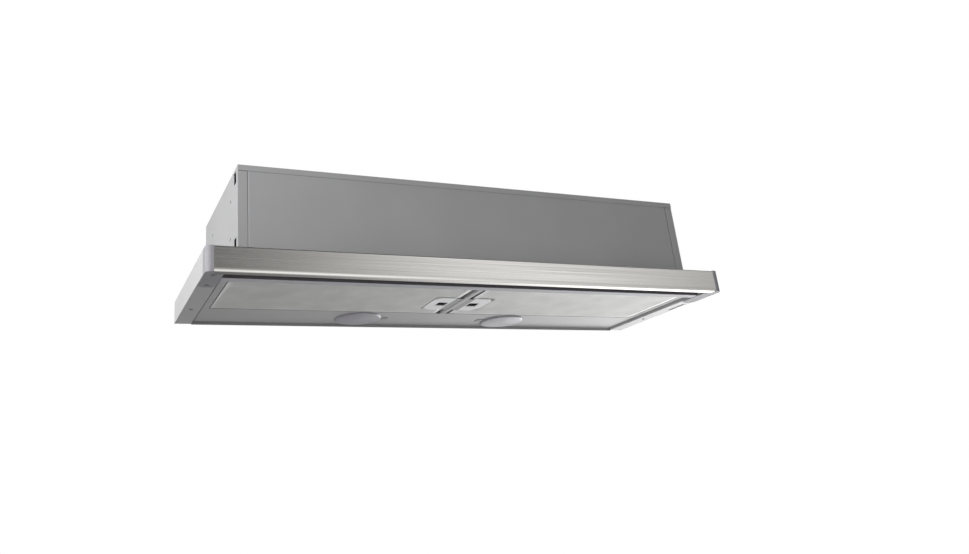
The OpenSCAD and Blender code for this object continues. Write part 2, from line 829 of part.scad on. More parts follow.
// Latch housing: a plate with a finger window, guides for the slider, and a
// tongue that fills most of the gap to the bar
module filter_latch(side) {
    z0 = filter_z - latch_proud;
    x0 = filter_x_in;
    x1 = filter_x_in + latch_l;
    y0 = latch_y - latch_w / 2;
    y1 = latch_y + latch_w / 2;
    front_cut = 10;
    rear_cut = 14;
    slider_half = window_w / 2 + 4;
    tongue_x = bar_w / 2 + 1;
    color(plate_grey) on_side(side) difference() {
        union() {
            along_z(z0, filter_z) {
                polygon([[x0, y0], [x1 - front_cut, y0], [x1, y0 + front_cut],
                    [x1, y1 - rear_cut], [x1 - rear_cut, y1], [x0, y1]]);
                rect(tongue_x, y0 + 3, x0 + eps, y1 - 3);
            }
            block(x0 + 1, y0 + 3, filter_z, x1 - 3, y1 - 3, filter_z + filter_t - 2);
        }
        block(window_x, latch_y - window_w / 2, z0 - 1, window_x + window_l, latch_y + window_w / 2, filter_z + 6);
        block(x0 - 1, latch_y - slider_half, filter_z + 0.2, x1 - 4, latch_y + slider_half, filter_z + 6);
    }
}

// Slider with a finger edge in the window and a nose that reaches to the bar
module latch_slider(side) {
    x0 = filter_x_in + 1.5;
    x1 = filter_x_in + latch_l - 5 - latch_travel;
    half = window_w / 2 + 3.5;
    z0 = filter_z + 0.5;
    color(dark) on_side(side) {
        difference() {
            block(x0, latch_y - half, z0, x1, latch_y + half, z0 + 4);
            block(window_x + 3, latch_y - half + 6, z0 - 1, x1 - 2, latch_y + half - 6, z0 + 2.5);
        }
        block(bar_w / 2 + 0.5, latch_y - nose_half, z0, x0 + eps, latch_y + nose_half, z0 + 3);
    }
}

// ---------- lamps ----------

// Shallow glass dish with a rounded edge and a snap ring above the tray
module lamp_lens(side) {
    edge = 2;
    ring_in = socket_r - 1.5;
    color(glass_grey) on_side(side) translate([lamp_x, lamp_y, 0]) rotate_extrude($fn = 96) difference() {
        union() {
            rect(0, lamp_z, lamp_r - edge, tray_z);
            rect(0, lamp_z + edge, lamp_r, tray_z);
            intersection() {
                translate([lamp_r - edge, lamp_z + edge]) circle(edge, $fn = 32);
                rect(0, lamp_z, lamp_r, lamp_z + edge);
            }
            rect(ring_in, tray_z - eps, ring_in + 1.2, tray_z + 5);
        }
        rect(-1, lamp_z + lens_t, ring_in, tray_z + 6);
    }
}

// Small tab beside each lens, on the side towards the middle
module lens_clips() {
    x0 = lamp_x - lamp_r - 12;
    color(plate_grey) both_sides()
        block(x0, lamp_y - 8, tray_z - 1.2, x0 + 11.5, lamp_y + 8, tray_z);
}

// Cups above the tray that hold the bulbs
module lamp_holders() {
    r = socket_r + holder_gap + holder_t;
    color(steel_grey) both_sides() translate([lamp_x, lamp_y, tray_z + sheet_t]) difference() {
        cylinder(r = r, h = holder_h);
        translate([0, 0, -1]) cylinder(r = r - holder_t, h = holder_h + 1 - roof_t);
        cylinder(r = bulb_base_r + 0.05, h = holder_h + 1);
    }
}

// Bulbs with a round base that sits in the cup's roof
module lamp_bulbs() {
    disc_t = 4;
    color([0.95, 0.93, 0.85]) both_sides() translate([lamp_x, lamp_y, holder_top - 2 * disc_t]) {
        cylinder(r = bulb_base_r, h = 3 * disc_t);
        translate([0, 0, -disc_t]) cylinder(r = bulb_r, h = disc_t);
        translate([0, 0, -disc_t]) sphere(r = 1.5 * disc_t);
    }
}

// ---------- blower ----------

// Points of the scroll, offset inwards by t
function scroll(t) = [for (a = [scroll_start:scroll_step:360])
    let (r = scroll_r0 + (scroll_r1 - scroll_r0) * (a - scroll_start) / (360 - scroll_start) - t)
    [by + r * cos(a), blower_z + r * sin(a)]];

// Outline of the blower housing seen along the axis
module scroll_outline(t, top) {
    polygon(concat(scroll(t), [[outlet_y1 - t, top], [outlet_y0 + t, top]]));
}

// Half of the housing: side plate with its inlet, and half of the scroll wall
module volute(side) {
    color([0.25, 0.25, 0.27]) on_side(side) difference() {
        translate([scroll_half / 2, 0, 0]) along_x(scroll_half) scroll_outline(0, cover_z);
        translate([scroll_half / 2 - volute_t, 0, 0]) along_x(scroll_half) scroll_outline(volute_t, cover_z + 1);
        translate([scroll_half - volute_t - 1, by, blower_z]) rotate([0, 90, 0])
            cylinder(r = inlet_r, h = volute_t + 2);
        if (side == LEFT)
            for (a = bracket_angles)
                translate([scroll_half - volute_t - 1, by + bracket_hole_r * cos(a), blower_z + bracket_hole_r * sin(a)])
                    rotate([0, 90, 0]) cylinder(r = 1.6, h = volute_t + 2);
    }
}

bracket_angles = [90, 210, 330];
bracket_hole_r = inlet_r + 7;

// Double inlet wheel: a middle disc, two end rings and curved blades
module impeller() {
    ring_t = 1.5;
    blade_t = 0.9;
    arc_r = blade_depth * 0.75;
    color([0.3, 0.3, 0.32]) translate([0, by, blower_z]) rotate([0, 90, 0]) {
        difference() {
            union() {
                translate([0, 0, -1]) cylinder(r = impeller_r, h = 2);
                translate([0, 0, -6]) cylinder(r = 9, h = 16);
            }
            translate([0, 0, -7]) cylinder(r = shaft_r + 0.05, h = 20);
        }
        for (s = [-1, 1])
            translate([0, 0, s * (impeller_half - ring_t / 2)]) difference() {
                cylinder(r = impeller_r, h = ring_t, center = true);
                cylinder(r = impeller_r - blade_depth, h = 2 * ring_t, center = true);
            }
        for (i = [0:blade_n - 1])
            rotate([0, 0, 360 * i / blade_n])
                for (z = [-impeller_half + ring_t, 1])
                    translate([0, 0, z - eps]) linear_extrude(height = impeller_half - ring_t - 1 + 2 * eps)
                        blade_section(arc_r, blade_t);
    }
}

// Curved blade between the inner and outer radius of the wheel
module blade_section(r, t) {
    span = 70;
    mid = impeller_r - blade_depth / 2;
    outer = [for (a = [-span / 2:span / 4:span / 2]) [mid + r * sin(a), r * cos(a) - r * 0.9]];
    inner = [for (a = [span / 2:-span / 4:-span / 2]) [mid + (r - t) * sin(a), (r - t) * cos(a) - r * 0.9]];
    polygon(concat(outer, inner));
}

module motor_shaft() {
    color([0.75, 0.75, 0.77]) translate([-scroll_half + 12, by, blower_z]) rotate([0, 90, 0])
        cylinder(r = shaft_r, h = scroll_half - 12 + 14);
}

// Motor inside the left half of the wheel, with end bells
module motor_body() {
    x0 = -scroll_half;
    len = scroll_half - 9;
    color([0.5, 0.5, 0.52]) translate([x0, by, blower_z]) rotate([0, 90, 0]) difference() {
        union() {
            cylinder(r = motor_r - 6, h = 6);
            translate([0, 0, 6]) cylinder(r = motor_r, h = len - 12);
            translate([0, 0, len - 6]) cylinder(r = motor_r - 6, h = 4);
            translate([0, 0, len - 6]) cylinder(r = 10, h = 6);
        }
        translate([0, 0, 10]) cylinder(r = shaft_r + 0.08, h = len);
    }
}

// Three armed bracket that carries the motor in the left inlet
module motor_bracket() {
    t = 2;
    color(steel_grey) translate([-scroll_half - t, by, blower_z]) rotate([0, 90, 0]) difference() {
        union() {
            cylinder(r = 20, h = t);
            for (a = bracket_angles)
                rotate([0, 0, 90 - a]) translate([-6, 0, 0]) cube([12, bracket_hole_r + 5, t]);
        }
        for (a = bracket_angles)
            rotate([0, 0, 90 - a]) translate([0, bracket_hole_r, -1]) cylinder(r = 1.6, h = t + 2);
    }
}

// ---------- outlet ----------

// Duct spigot with a base flange and a stop ring under the flaps
module outlet_collar() {
    inner_r = collar_r - collar_t;
    stop_z = flap_z - flap_t - 0.2 - glide_gap;
    color([0.2, 0.2, 0.21]) translate([0, outlet_y, 0]) difference() {
        union() {
            translate([0, 0, casing_top]) cylinder(r = collar_screw_r + 4, h = 2, $fn = 128);
            translate([0, 0, casing_top]) cylinder(r = collar_r, h = collar_h, $fn = 128);
        }
        translate([0, 0, casing_top - 1]) cylinder(r = inner_r - 2.5, h = collar_h + 2, $fn = 128);
        translate([0, 0, stop_z]) cylinder(r = inner_r, h = collar_h, $fn = 128);
        for (a = [45:90:315])
            rotate([0, 0, a]) translate([collar_screw_r, 0, casing_top - 1]) cylinder(r = screw_hole_r, h = 4);
    }
}

module flap_pin() {
    color([0.75, 0.75, 0.77]) translate([0, outlet_y, flap_z]) rotate([0, 90, 0])
        cylinder(r = flap_pin_r, h = 2 * (collar_r - collar_t) - 0.2, center = true);
}

// Half disc that swings up about the pin; its knuckles share the pin with the other half
module flap(dir, knuckles) {
    color([0.3, 0.3, 0.31]) translate([0, outlet_y, flap_z]) difference() {
        union() {
            translate([0, 0, -flap_t - 0.2]) linear_extrude(height = flap_t) intersection() {
                circle(flap_r, $fn = 96);
                translate([-flap_r, dir > 0 ? flap_knuckle_r + 0.6 : -flap_r - flap_knuckle_r - 0.6])
                    square([2 * flap_r, flap_r]);
            }
            for (k = knuckles) {
                translate([k[0], 0, 0]) rotate([0, 90, 0]) cylinder(r = flap_knuckle_r, h = k[1] - k[0]);
                translate([k[0], dir > 0 ? 0 : -flap_knuckle_r - 2, -flap_t - 0.2])
                    cube([k[1] - k[0], flap_knuckle_r + 2, flap_t]);
            }
        }
        translate([-collar_r, 0, 0]) rotate([0, 90, 0]) cylinder(r = flap_bore_r, h = 2 * collar_r);
    }
}

module flap_front() {
    flap(-1, [[-60, -34], [34, 60]]);
}

module flap_rear() {
    flap(1, [[-30, -4], [4, 30]]);
}

// ---------- electrics ----------

// Motor capacitor with two feet under the top cover
module capacitor() {
    foot = can_l / 10;
    color([0.85, 0.85, 0.84]) translate([-can_x - can_l, y_wall - 60, cover_z - can_r - 1]) {
        rotate([0, 90, 0]) cylinder(r = can_r, h = can_l);
        for (x = [2 * foot, 7 * foot]) translate([x, -can_r, 0]) cube([foot, 2 * can_r, can_r + 1]);
    }
}

// Open topped box under the top cover, with a terminal strip moulded to its floor
module electronics_box() {
    wall = 2;
    x0 = casing_half - box_side - box_l;
    y0 = y_wall - box_wall - box_d;
    z0 = cover_z - box_h;
    strip_l = 58;
    strip_y = y0 + box_d / 2 + 5;
    strip_half = 9;
    pitch = strip_l / 6;
    color([0.88, 0.88, 0.86]) {
        difference() {
            block(x0, y0, z0, x0 + box_l, y0 + box_d, cover_z);
            block(x0 + wall, y0 + wall, z0 + wall, x0 + box_l - wall, y0 + box_d - wall, cover_z + 1);
        }
        difference() {
            block(x0 + 8, strip_y - strip_half, z0 + wall - eps, x0 + 8 + strip_l, strip_y + strip_half, z0 + 2 * strip_half);
            for (i = [0:5])
                translate([x0 + 8 + pitch * (i + 0.5), strip_y, z0 + 8]) cylinder(r = 2.2, h = box_h, $fn = 24);
        }
    }
}

// Inlet of the supply lead: a collar above the cover, a neck through it and a nut below
module cable_gland() {
    color(dark) translate([gland[0], gland[1], 0]) difference() {
        union() {
            translate([0, 0, casing_top]) cylinder(r = 10, h = 4, $fn = 6);
            translate([0, 0, casing_top]) cylinder(r = 8, h = 10);
            translate([0, 0, cover_z - 4]) cylinder(r = gland_r - 0.2, h = 8);
            translate([0, 0, cover_z - 4]) cylinder(r = 10, h = 4, $fn = 6);
        }
        translate([0, 0, cover_z - 5]) cylinder(r = 4, h = 20);
    }
}

// Switch on the left bracket that the visor's tab passes
module microswitch() {
    x0 = -tray_half + sheet_t;
    y0 = visor_y1 - 44;
    color(dark) {
        block(x0, y0, 18, x0 + 8, y0 + 20, 26);
        block(x0 + 2.5, y0 + 2, 26, x0 + 5.5, y0 + 5, visor_z - 5 - glide_gap);
    }
}

module casing_screws() {
    color(dark) {
        for (p = cover_screws) screw_down(p, casing_top, 5);
        for (a = [45:90:315])
            translate([0, outlet_y, 0])
                screw_down([collar_screw_r * cos(a), collar_screw_r * sin(a)], casing_top + 2, 2);
    }
}

fascia();
end_cap(LEFT);  // end_cap_left
end_cap(RIGHT);  // end_cap_right
grip_rail();
side_rail(LEFT);  // side_rail_left
side_rail(RIGHT);  // side_rail_right
visor_plate();
visor_glides();
drawer_slide(LEFT);  // drawer_slide_left
drawer_slide(RIGHT);  // drawer_slide_right
slide_spacers();
control_bezel();
speed_knob();
light_knob();
switch_board();
drawer_screws();
slide_middle(LEFT);  // slide_middle_left
slide_middle(RIGHT);  // slide_middle_right
slide_glides(LEFT);  // slide_glides_left
slide_glides(RIGHT);  // slide_glides_right
top_cover();
side_panel(LEFT);  // side_panel_left
side_panel(RIGHT);  // side_panel_right
front_panel();
rear_panel();
underside_panel();
runner_bracket(LEFT);  // runner_bracket_left
runner_bracket(RIGHT);  // runner_bracket_right
cabinet_slide(LEFT);  // cabinet_slide_left
cabinet_slide(RIGHT);  // cabinet_slide_right
centre_bar();
filter_hooks();
filter_frame(LEFT);  // filter_frame_left
filter_frame(RIGHT);  // filter_frame_right
filter_mesh(LEFT);  // filter_mesh_left
filter_mesh(RIGHT);  // filter_mesh_right
filter_latch(LEFT);  // filter_latch_left
filter_latch(RIGHT);  // filter_latch_right
latch_slider(LEFT);  // latch_slider_left
latch_slider(RIGHT);  // latch_slider_right
lamp_lens(LEFT);  // lamp_lens_left
lamp_lens(RIGHT);  // lamp_lens_right
lens_clips();
lamp_holders();
lamp_bulbs();
volute(LEFT);  // volute_left
volute(RIGHT);  // volute_right
impeller();
motor_shaft();
motor_body();
motor_bracket();
outlet_collar();
flap_pin();
flap_front();
flap_rear();
capacitor();
electronics_box();
cable_gland();
microswitch();
casing_screws();
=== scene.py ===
"""Visual model of a built-in pull out range hood, dressed round its CAD frame.

Every piece sits in the frame of the CAD, in metres: X runs along the width, Y
from the fascia to the wall and Z up to the duct collar.  Folded sheets and
moulded parts are softened copies of their CAD nodes, the grease filters get
their expanded metal, the lamps their ribbed glass and the screws their
recesses.  All materials are procedural.
"""

import json
import logging
import math
from dataclasses import dataclass, field
from enum import Enum
from typing import Callable, Dict, List, Optional, Sequence, Tuple

import bmesh
import bpy
from mathutils import Matrix, Vector


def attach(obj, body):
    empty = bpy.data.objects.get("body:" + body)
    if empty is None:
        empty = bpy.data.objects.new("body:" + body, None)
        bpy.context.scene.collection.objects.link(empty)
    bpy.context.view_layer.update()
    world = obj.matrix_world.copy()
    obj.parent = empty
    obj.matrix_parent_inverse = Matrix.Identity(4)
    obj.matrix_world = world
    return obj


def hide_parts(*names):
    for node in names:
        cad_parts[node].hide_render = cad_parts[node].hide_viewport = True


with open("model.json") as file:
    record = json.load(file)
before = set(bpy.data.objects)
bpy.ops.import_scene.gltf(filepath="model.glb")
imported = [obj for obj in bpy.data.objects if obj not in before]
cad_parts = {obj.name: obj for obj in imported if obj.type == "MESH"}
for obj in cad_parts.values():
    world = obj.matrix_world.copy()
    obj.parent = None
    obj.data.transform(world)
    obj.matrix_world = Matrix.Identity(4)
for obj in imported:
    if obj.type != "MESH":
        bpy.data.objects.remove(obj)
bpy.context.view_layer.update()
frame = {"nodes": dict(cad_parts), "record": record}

LOG = logging.getLogger("range_hood")
MM = 0.001
Colour = Tuple[float, float, float]
Point = Tuple[float, float, float]
Spread = Tuple[float, float]
Outline = List[Tuple[float, float]]
Socket = bpy.types.NodeSocket
Ring = List[bmesh.types.BMVert]

# Sockets of the Mix node in its colour mode
MIX_SHARE, MIX_FIRST, MIX_SECOND, MIX_RESULT = 0, 6, 7, 2


class Side(Enum):
    """The two ends of the hood, seen from the front."""

    LEFT = ("left", -1.0)
    RIGHT = ("right", 1.0)

    @property
    def word(self) -> str:
        """Name used in nodes and bodies."""
        return self.value[0]

    @property
    def sign(self) -> float:
        """Direction along X."""
        return self.value[1]


class Split(Enum):
    """Coordinate along which a moulding changes to or from its painted shade, by its socket."""

    WIDTH = 0
    HEIGHT = 2


def in_scene(name: str, data: bpy.types.ID) -> bpy.types.Object:
    """Put an object with the given data into the scene.

    Args:
        name: Name of the object.
        data: Its mesh, light or camera.

    Returns:
        The object.
    """
    made = bpy.data.objects.new(name, data)
    bpy.context.scene.collection.objects.link(made)
    return made


# ---------------------------------------------------------------- node trees


class Wiring:
    """Adds nodes to one tree and joins their sockets."""

    def __init__(self, tree: bpy.types.NodeTree) -> None:
        """Take a tree.

        Args:
            tree: The tree that the nodes go into.
        """
        self.tree = tree

    def node(self, kind: str, settings: Optional[dict] = None, **wires: object) -> bpy.types.Node:
        """Add a node and wire it.

        Args:
            kind: Node type.
            settings: Properties of the node.
            **wires: Inputs by name, with spaces written as underscores.

        Returns:
            The node.
        """
        made = self.tree.nodes.new(kind)
        for key, value in (settings or {}).items():
            setattr(made, key, value)
        self.join(made, wires)
        return made

    def join(self, node: bpy.types.Node, wires: Dict[str, object]) -> None:
        """Feed the inputs of a node.

        Args:
            node: The node.
            wires: Inputs by name, with spaces written as underscores.
        """
        for name, value in wires.items():
            self.wire(node.inputs[name.replace("_", " ")], value)

    def wire(self, socket: Socket, value: object) -> None:
        """Link a socket, or set its value.

        Args:
            socket: The input.
            value: A socket, a node whose first output is meant, or a plain value.
        """
        if isinstance(value, bpy.types.Node):
            value = value.outputs[0]
        if isinstance(value, bpy.types.NodeSocket):
            self.tree.links.new(value, socket)
        else:
            socket.default_value = value

    def maths(self, operation: str, first: object, second: object = 0.0) -> Socket:
        """Combine two numbers.

        Args:
            operation: Name of the operation.
            first: First number or socket.
            second: Second number or socket.

        Returns:
            The result socket.
        """
        made = self.node("ShaderNodeMath", {"operation": operation})
        self.wire(made.inputs[0], first)
        self.wire(made.inputs[1], second)
        return made.outputs[0]


def of_kind(sockets: Sequence[Socket], kind: str) -> List[Socket]:
    """Sockets of one kind, in their order."""
    return [socket for socket in sockets if socket.type == kind]


# ---------------------------------------------------------------- shading


class ShaderSketch(Wiring):
    """Writes one procedural material on Object coordinates, node by node."""

    def __init__(self, name: str) -> None:
        """Start a material with a Principled surface.

        Args:
            name: Name of the material.
        """
        self.material = bpy.data.materials.new(name)
        self.material.use_nodes = True
        super().__init__(self.material.node_tree)
        self.tree.nodes.clear()
        self.surface = self.node("ShaderNodeBsdfPrincipled")
        self.node("ShaderNodeOutputMaterial", Surface=self.surface)
        self.place = self.node("ShaderNodeTexCoord").outputs["Object"]

    def give(self, **values: object) -> None:
        """Set inputs of the surface, with spaces in their names written as underscores."""
        self.join(self.surface, values)

    def stretched(self, scale: Sequence[float]) -> Socket:
        """Object coordinates scaled along each axis, per metre."""
        return self.node("ShaderNodeMapping", Vector=self.place, Scale=tuple(scale)).outputs[0]

    def noise(self, scale: float, detail: float = 2.0, vector: Optional[Socket] = None) -> Socket:
        """Smooth noise between 0 and 1.

        Args:
            scale: Features per metre, or per unit of the given vector.
            detail: Number of finer octaves.
            vector: Coordinates, or None for Object coordinates.

        Returns:
            The factor socket.
        """
        return self.node("ShaderNodeTexNoise", Scale=scale, Detail=detail,
                         Vector=vector or self.place).outputs["Fac"]

    def cells(self, scale: float, feature: str = "F1") -> bpy.types.Node:
        """Voronoi cells.

        Args:
            scale: Cells per metre.
            feature: What the cells measure.

        Returns:
            The texture node.
        """
        return self.node("ShaderNodeTexVoronoi", {"feature": feature}, Scale=scale, Vector=self.place)

    def ranged(self, value: Socket, low: float, high: float, start: float = 0.3, end: float = 0.7) -> Socket:
        """Stretch a pattern over a range of values.

        Args:
            value: The pattern.
            low: Result where the pattern is at start or below.
            high: Result where the pattern is at end or above.
            start: Lower end of the pattern's useful span.
            end: Upper end of that span.

        Returns:
            The result socket.
        """
        return self.node("ShaderNodeMapRange", Value=value, From_Min=start, From_Max=end,
                         To_Min=low, To_Max=high).outputs[0]

    def clouds(self, scale: float, detail: float = 2.0) -> Socket:
        """Noise stretched over the whole span from 0 to 1."""
        return self.ranged(self.noise(scale, detail), 0.0, 1.0)

    def blend(self, share: Socket, first: Colour, second: Colour) -> Socket:
        """Mix two colours by a pattern.

        Args:
            share: Share of the second colour.
            first: Colour at 0.
            second: Colour at 1.

        Returns:
            The colour socket.
        """
        mix = self.node("ShaderNodeMix", {"data_type": "RGBA"})
        self.wire(mix.inputs[MIX_SHARE], share)
        self.wire(mix.inputs[MIX_FIRST], (*first, 1.0))
        self.wire(mix.inputs[MIX_SECOND], (*second, 1.0))
        return mix.outputs[MIX_RESULT]

    def relief(self, height: Socket, depth: float, strength: float) -> Socket:
        """Bump a surface by a pattern.

        Args:
            height: The pattern.
            depth: Height of the relief in metres.
            strength: Share of the effect.

        Returns:
            The normal socket.
        """
        return self.node("ShaderNodeBump", Strength=strength, Distance=depth, Height=height).outputs[0]

    def shade(self, share: Socket, colour: Colour, spread: Spread) -> None:
        """Vary the colour of the surface by a pattern.

        Args:
            share: The pattern, from 0 for darkest to 1 for lightest.
            colour: The mean colour.
            spread: How much darker and how much lighter it gets, as shares.
        """
        darker, lighter = spread
        self.give(Base_Color=self.blend(share, tinted(colour, 1 - darker), tinted(colour, 1 + lighter)))

    def texture(self, pattern: Socket, roughness: float, spread: Spread, depth: float,
                strength: float) -> None:
        """Vary the roughness and the relief of the surface by one fine pattern.

        Args:
            pattern: The fine pattern.
            roughness: The mean roughness.
            spread: How far the roughness falls and rises.
            depth: Height of the relief in metres.
            strength: Share of the relief's effect.
        """
        fall, rise = spread
        self.give(Roughness=self.ranged(pattern, roughness - fall, roughness + rise),
                  Normal=self.relief(pattern, depth, strength))


def tinted(colour: Colour, factor: float) -> Colour:
    """Lighten or darken a colour by a factor."""
    return tuple(min(1.0, channel * factor) for channel in colour)


@dataclass(frozen=True)
class Finish:
    """A finish with its mean colour and roughness; each kind draws itself."""

    name: str
    colour: Colour
    roughness: float

    def material(self) -> bpy.types.Material:
        """Build the material.

        Returns:
            The finished material.
        """
        sketch = ShaderSketch(self.name)
        self.draw(sketch)
        return sketch.material

    def draw(self, sketch: ShaderSketch) -> None:
        """Draw the finish on the sketch of its material."""
        raise NotImplementedError


@dataclass(frozen=True)
class SheetPaint(Finish):
    """Satin paint on folded steel, with fine orange peel and faint clouding."""

    peel_scale: float = 900.0
    clouding: float = 0.04

    def draw(self, sketch: ShaderSketch) -> None:
        """Draw the paint.

        Args:
            sketch: The sketch of its material.
        """
        sketch.shade(sketch.clouds(scale=7.0, detail=3.0), self.colour, (self.clouding, self.clouding))
        sketch.texture(sketch.noise(self.peel_scale), self.roughness, spread=(0.05, 0.05),
                       depth=0.05 * MM, strength=0.35)
        sketch.give(Coat_Weight=0.15, Coat_Roughness=0.25)


@dataclass(frozen=True)
class BrushedMetal(Finish):
    """Metal with long fine scratches along X, and broader streaks below them."""

    streak: float
    relief: float
    fine_scale: Point = (3.0, 700.0, 700.0)
    broad_share: float = 0.12

    def draw(self, sketch: ShaderSketch) -> None:
        """Draw the brushed metal.

        Args:
            sketch: The sketch of its material.
        """
        lines = sketch.noise(scale=1.0, detail=4.0, vector=sketch.stretched(self.fine_scale))
        broad_scale = [self.broad_share * scale for scale in self.fine_scale]
        broad = sketch.noise(scale=1.0, vector=sketch.stretched(broad_scale))
        sketch.shade(sketch.ranged(broad, 0.0, 1.0), self.colour, (self.streak, self.streak))
        sketch.texture(lines, self.roughness, spread=(0.07, 0.09), depth=0.04 * MM, strength=self.relief)
        sketch.give(Metallic=1.0)


@dataclass(frozen=True)
class MouldedPlastic(Finish):
    """Injection moulded plastic with the grain of its spark eroded tool."""

    grain_scale: float = 1600.0
    grain_depth: float = 0.06 * MM
    coat: float = 0.0

    def draw(self, sketch: ShaderSketch) -> None:
        """Draw the plastic.

        Args:
            sketch: The sketch of its material.
        """
        self.tint(sketch)
        sketch.texture(sketch.noise(self.grain_scale, detail=3.0), self.roughness, spread=(0.06, 0.08),
                       depth=self.grain_depth, strength=0.4)
        sketch.give(Coat_Weight=self.coat)

    def tint(self, sketch: ShaderSketch) -> None:
        """Colour the plastic, with faint flow clouds."""
        sketch.shade(sketch.clouds(scale=14.0), self.colour, spread=(0.05, 0.05))


@dataclass(frozen=True, kw_only=True)
class TwoTonePlastic(MouldedPlastic):
    """Plastic with painted shade: one of its two colours is shade painted in; far is used from border to
    reach, measured from zero.
    """

    far: Colour
    split: Split
    border: float
    reach: float = 1.0
    blur: float = 0.1 * MM

    def tint(self, sketch: ShaderSketch) -> None:
        """Colour the plastic by its distance from zero, painting shade on one side of the border.

        Args:
            sketch: The sketch of its material.
        """
        axes = sketch.node("ShaderNodeSeparateXYZ", Vector=sketch.place)
        distance = sketch.maths("ABSOLUTE", axes.outputs[self.split.value])
        past = sketch.ranged(distance, 0.0, 1.0, self.border - self.blur, self.border + self.blur)
        within = sketch.ranged(distance, 1.0, 0.0, self.reach - self.blur, self.reach + self.blur)
        # one colour of this blend is painted shade, not a colour of the plastic itself
        sketch.give(Base_Color=sketch.blend(sketch.maths("MULTIPLY", past, within), self.colour, self.far))


@dataclass(frozen=True)
class PlatedSteel(Finish):
    """Zinc plated or rolled metal with a faint crystal pattern."""

    crystal_scale: float = 160.0
    contrast: float = 0.1
    bare: float = 1.0

    def draw(self, sketch: ShaderSketch) -> None:
        """Draw the plated metal.

        Args:
            sketch: The sketch of its material.
        """
        grey = sketch.node("ShaderNodeRGBToBW", Color=sketch.cells(self.crystal_scale).outputs["Color"])
        share = sketch.ranged(grey.outputs[0], 0.0, 1.0, start=0.1, end=0.9)
        sketch.shade(share, self.colour, (self.contrast, self.contrast))
        rough = sketch.ranged(share, self.roughness - 0.05, self.roughness + 0.07, start=0.0, end=1.0)
        pits = sketch.relief(sketch.noise(scale=700.0), depth=0.03 * MM, strength=0.3)
        sketch.give(Roughness=rough, Normal=pits, Metallic=self.bare)


@dataclass(frozen=True)
class PressedAluminium(Finish):
    """Bare aluminium of the grease filters, dulled by forming and washing."""

    bare: float = 0.85

    def draw(self, sketch: ShaderSketch) -> None:
        """Draw the aluminium.

        Args:
            sketch: The sketch of its material.
        """
        sketch.shade(sketch.clouds(scale=24.0, detail=4.0), self.colour, spread=(0.07, 0.05))
        sketch.texture(sketch.noise(scale=1200.0), self.roughness, spread=(0.08, 0.08),
                       depth=0.04 * MM, strength=0.35)
        sketch.give(Metallic=self.bare)


@dataclass(frozen=True)
class FrostedGlass(Finish):
    """Satin glass: part of the light passes, the rest scatters at the surface."""

    transmission: float = 0.5

    def draw(self, sketch: ShaderSketch) -> None:
        """Draw the glass.

        Args:
            sketch: The sketch of its material.
        """
        sketch.shade(sketch.clouds(scale=60.0), self.colour, spread=(0.04, 0.03))
        sketch.texture(sketch.noise(scale=2200.0), self.roughness, spread=(0.06, 0.08),
                       depth=0.03 * MM, strength=0.25)
        sketch.give(Transmission_Weight=self.transmission, IOR=1.5, Coat_Weight=0.4, Coat_Roughness=0.12)


@dataclass(frozen=True)
class CircuitBoard(Finish):
    """Lacquered board with a net of copper tracks."""

    track: Colour

    def draw(self, sketch: ShaderSketch) -> None:
        """Draw the board.

        Args:
            sketch: The sketch of its material.
        """
        net = sketch.cells(scale=260.0, feature="DISTANCE_TO_EDGE").outputs["Distance"]
        edge = sketch.ranged(net, 1.0, 0.0, start=0.03, end=0.08)
        sketch.give(Base_Color=sketch.blend(edge, self.colour, self.track),
                    Normal=sketch.relief(edge, depth=0.04 * MM, strength=0.5),
                    Roughness=self.roughness, Coat_Weight=0.5)


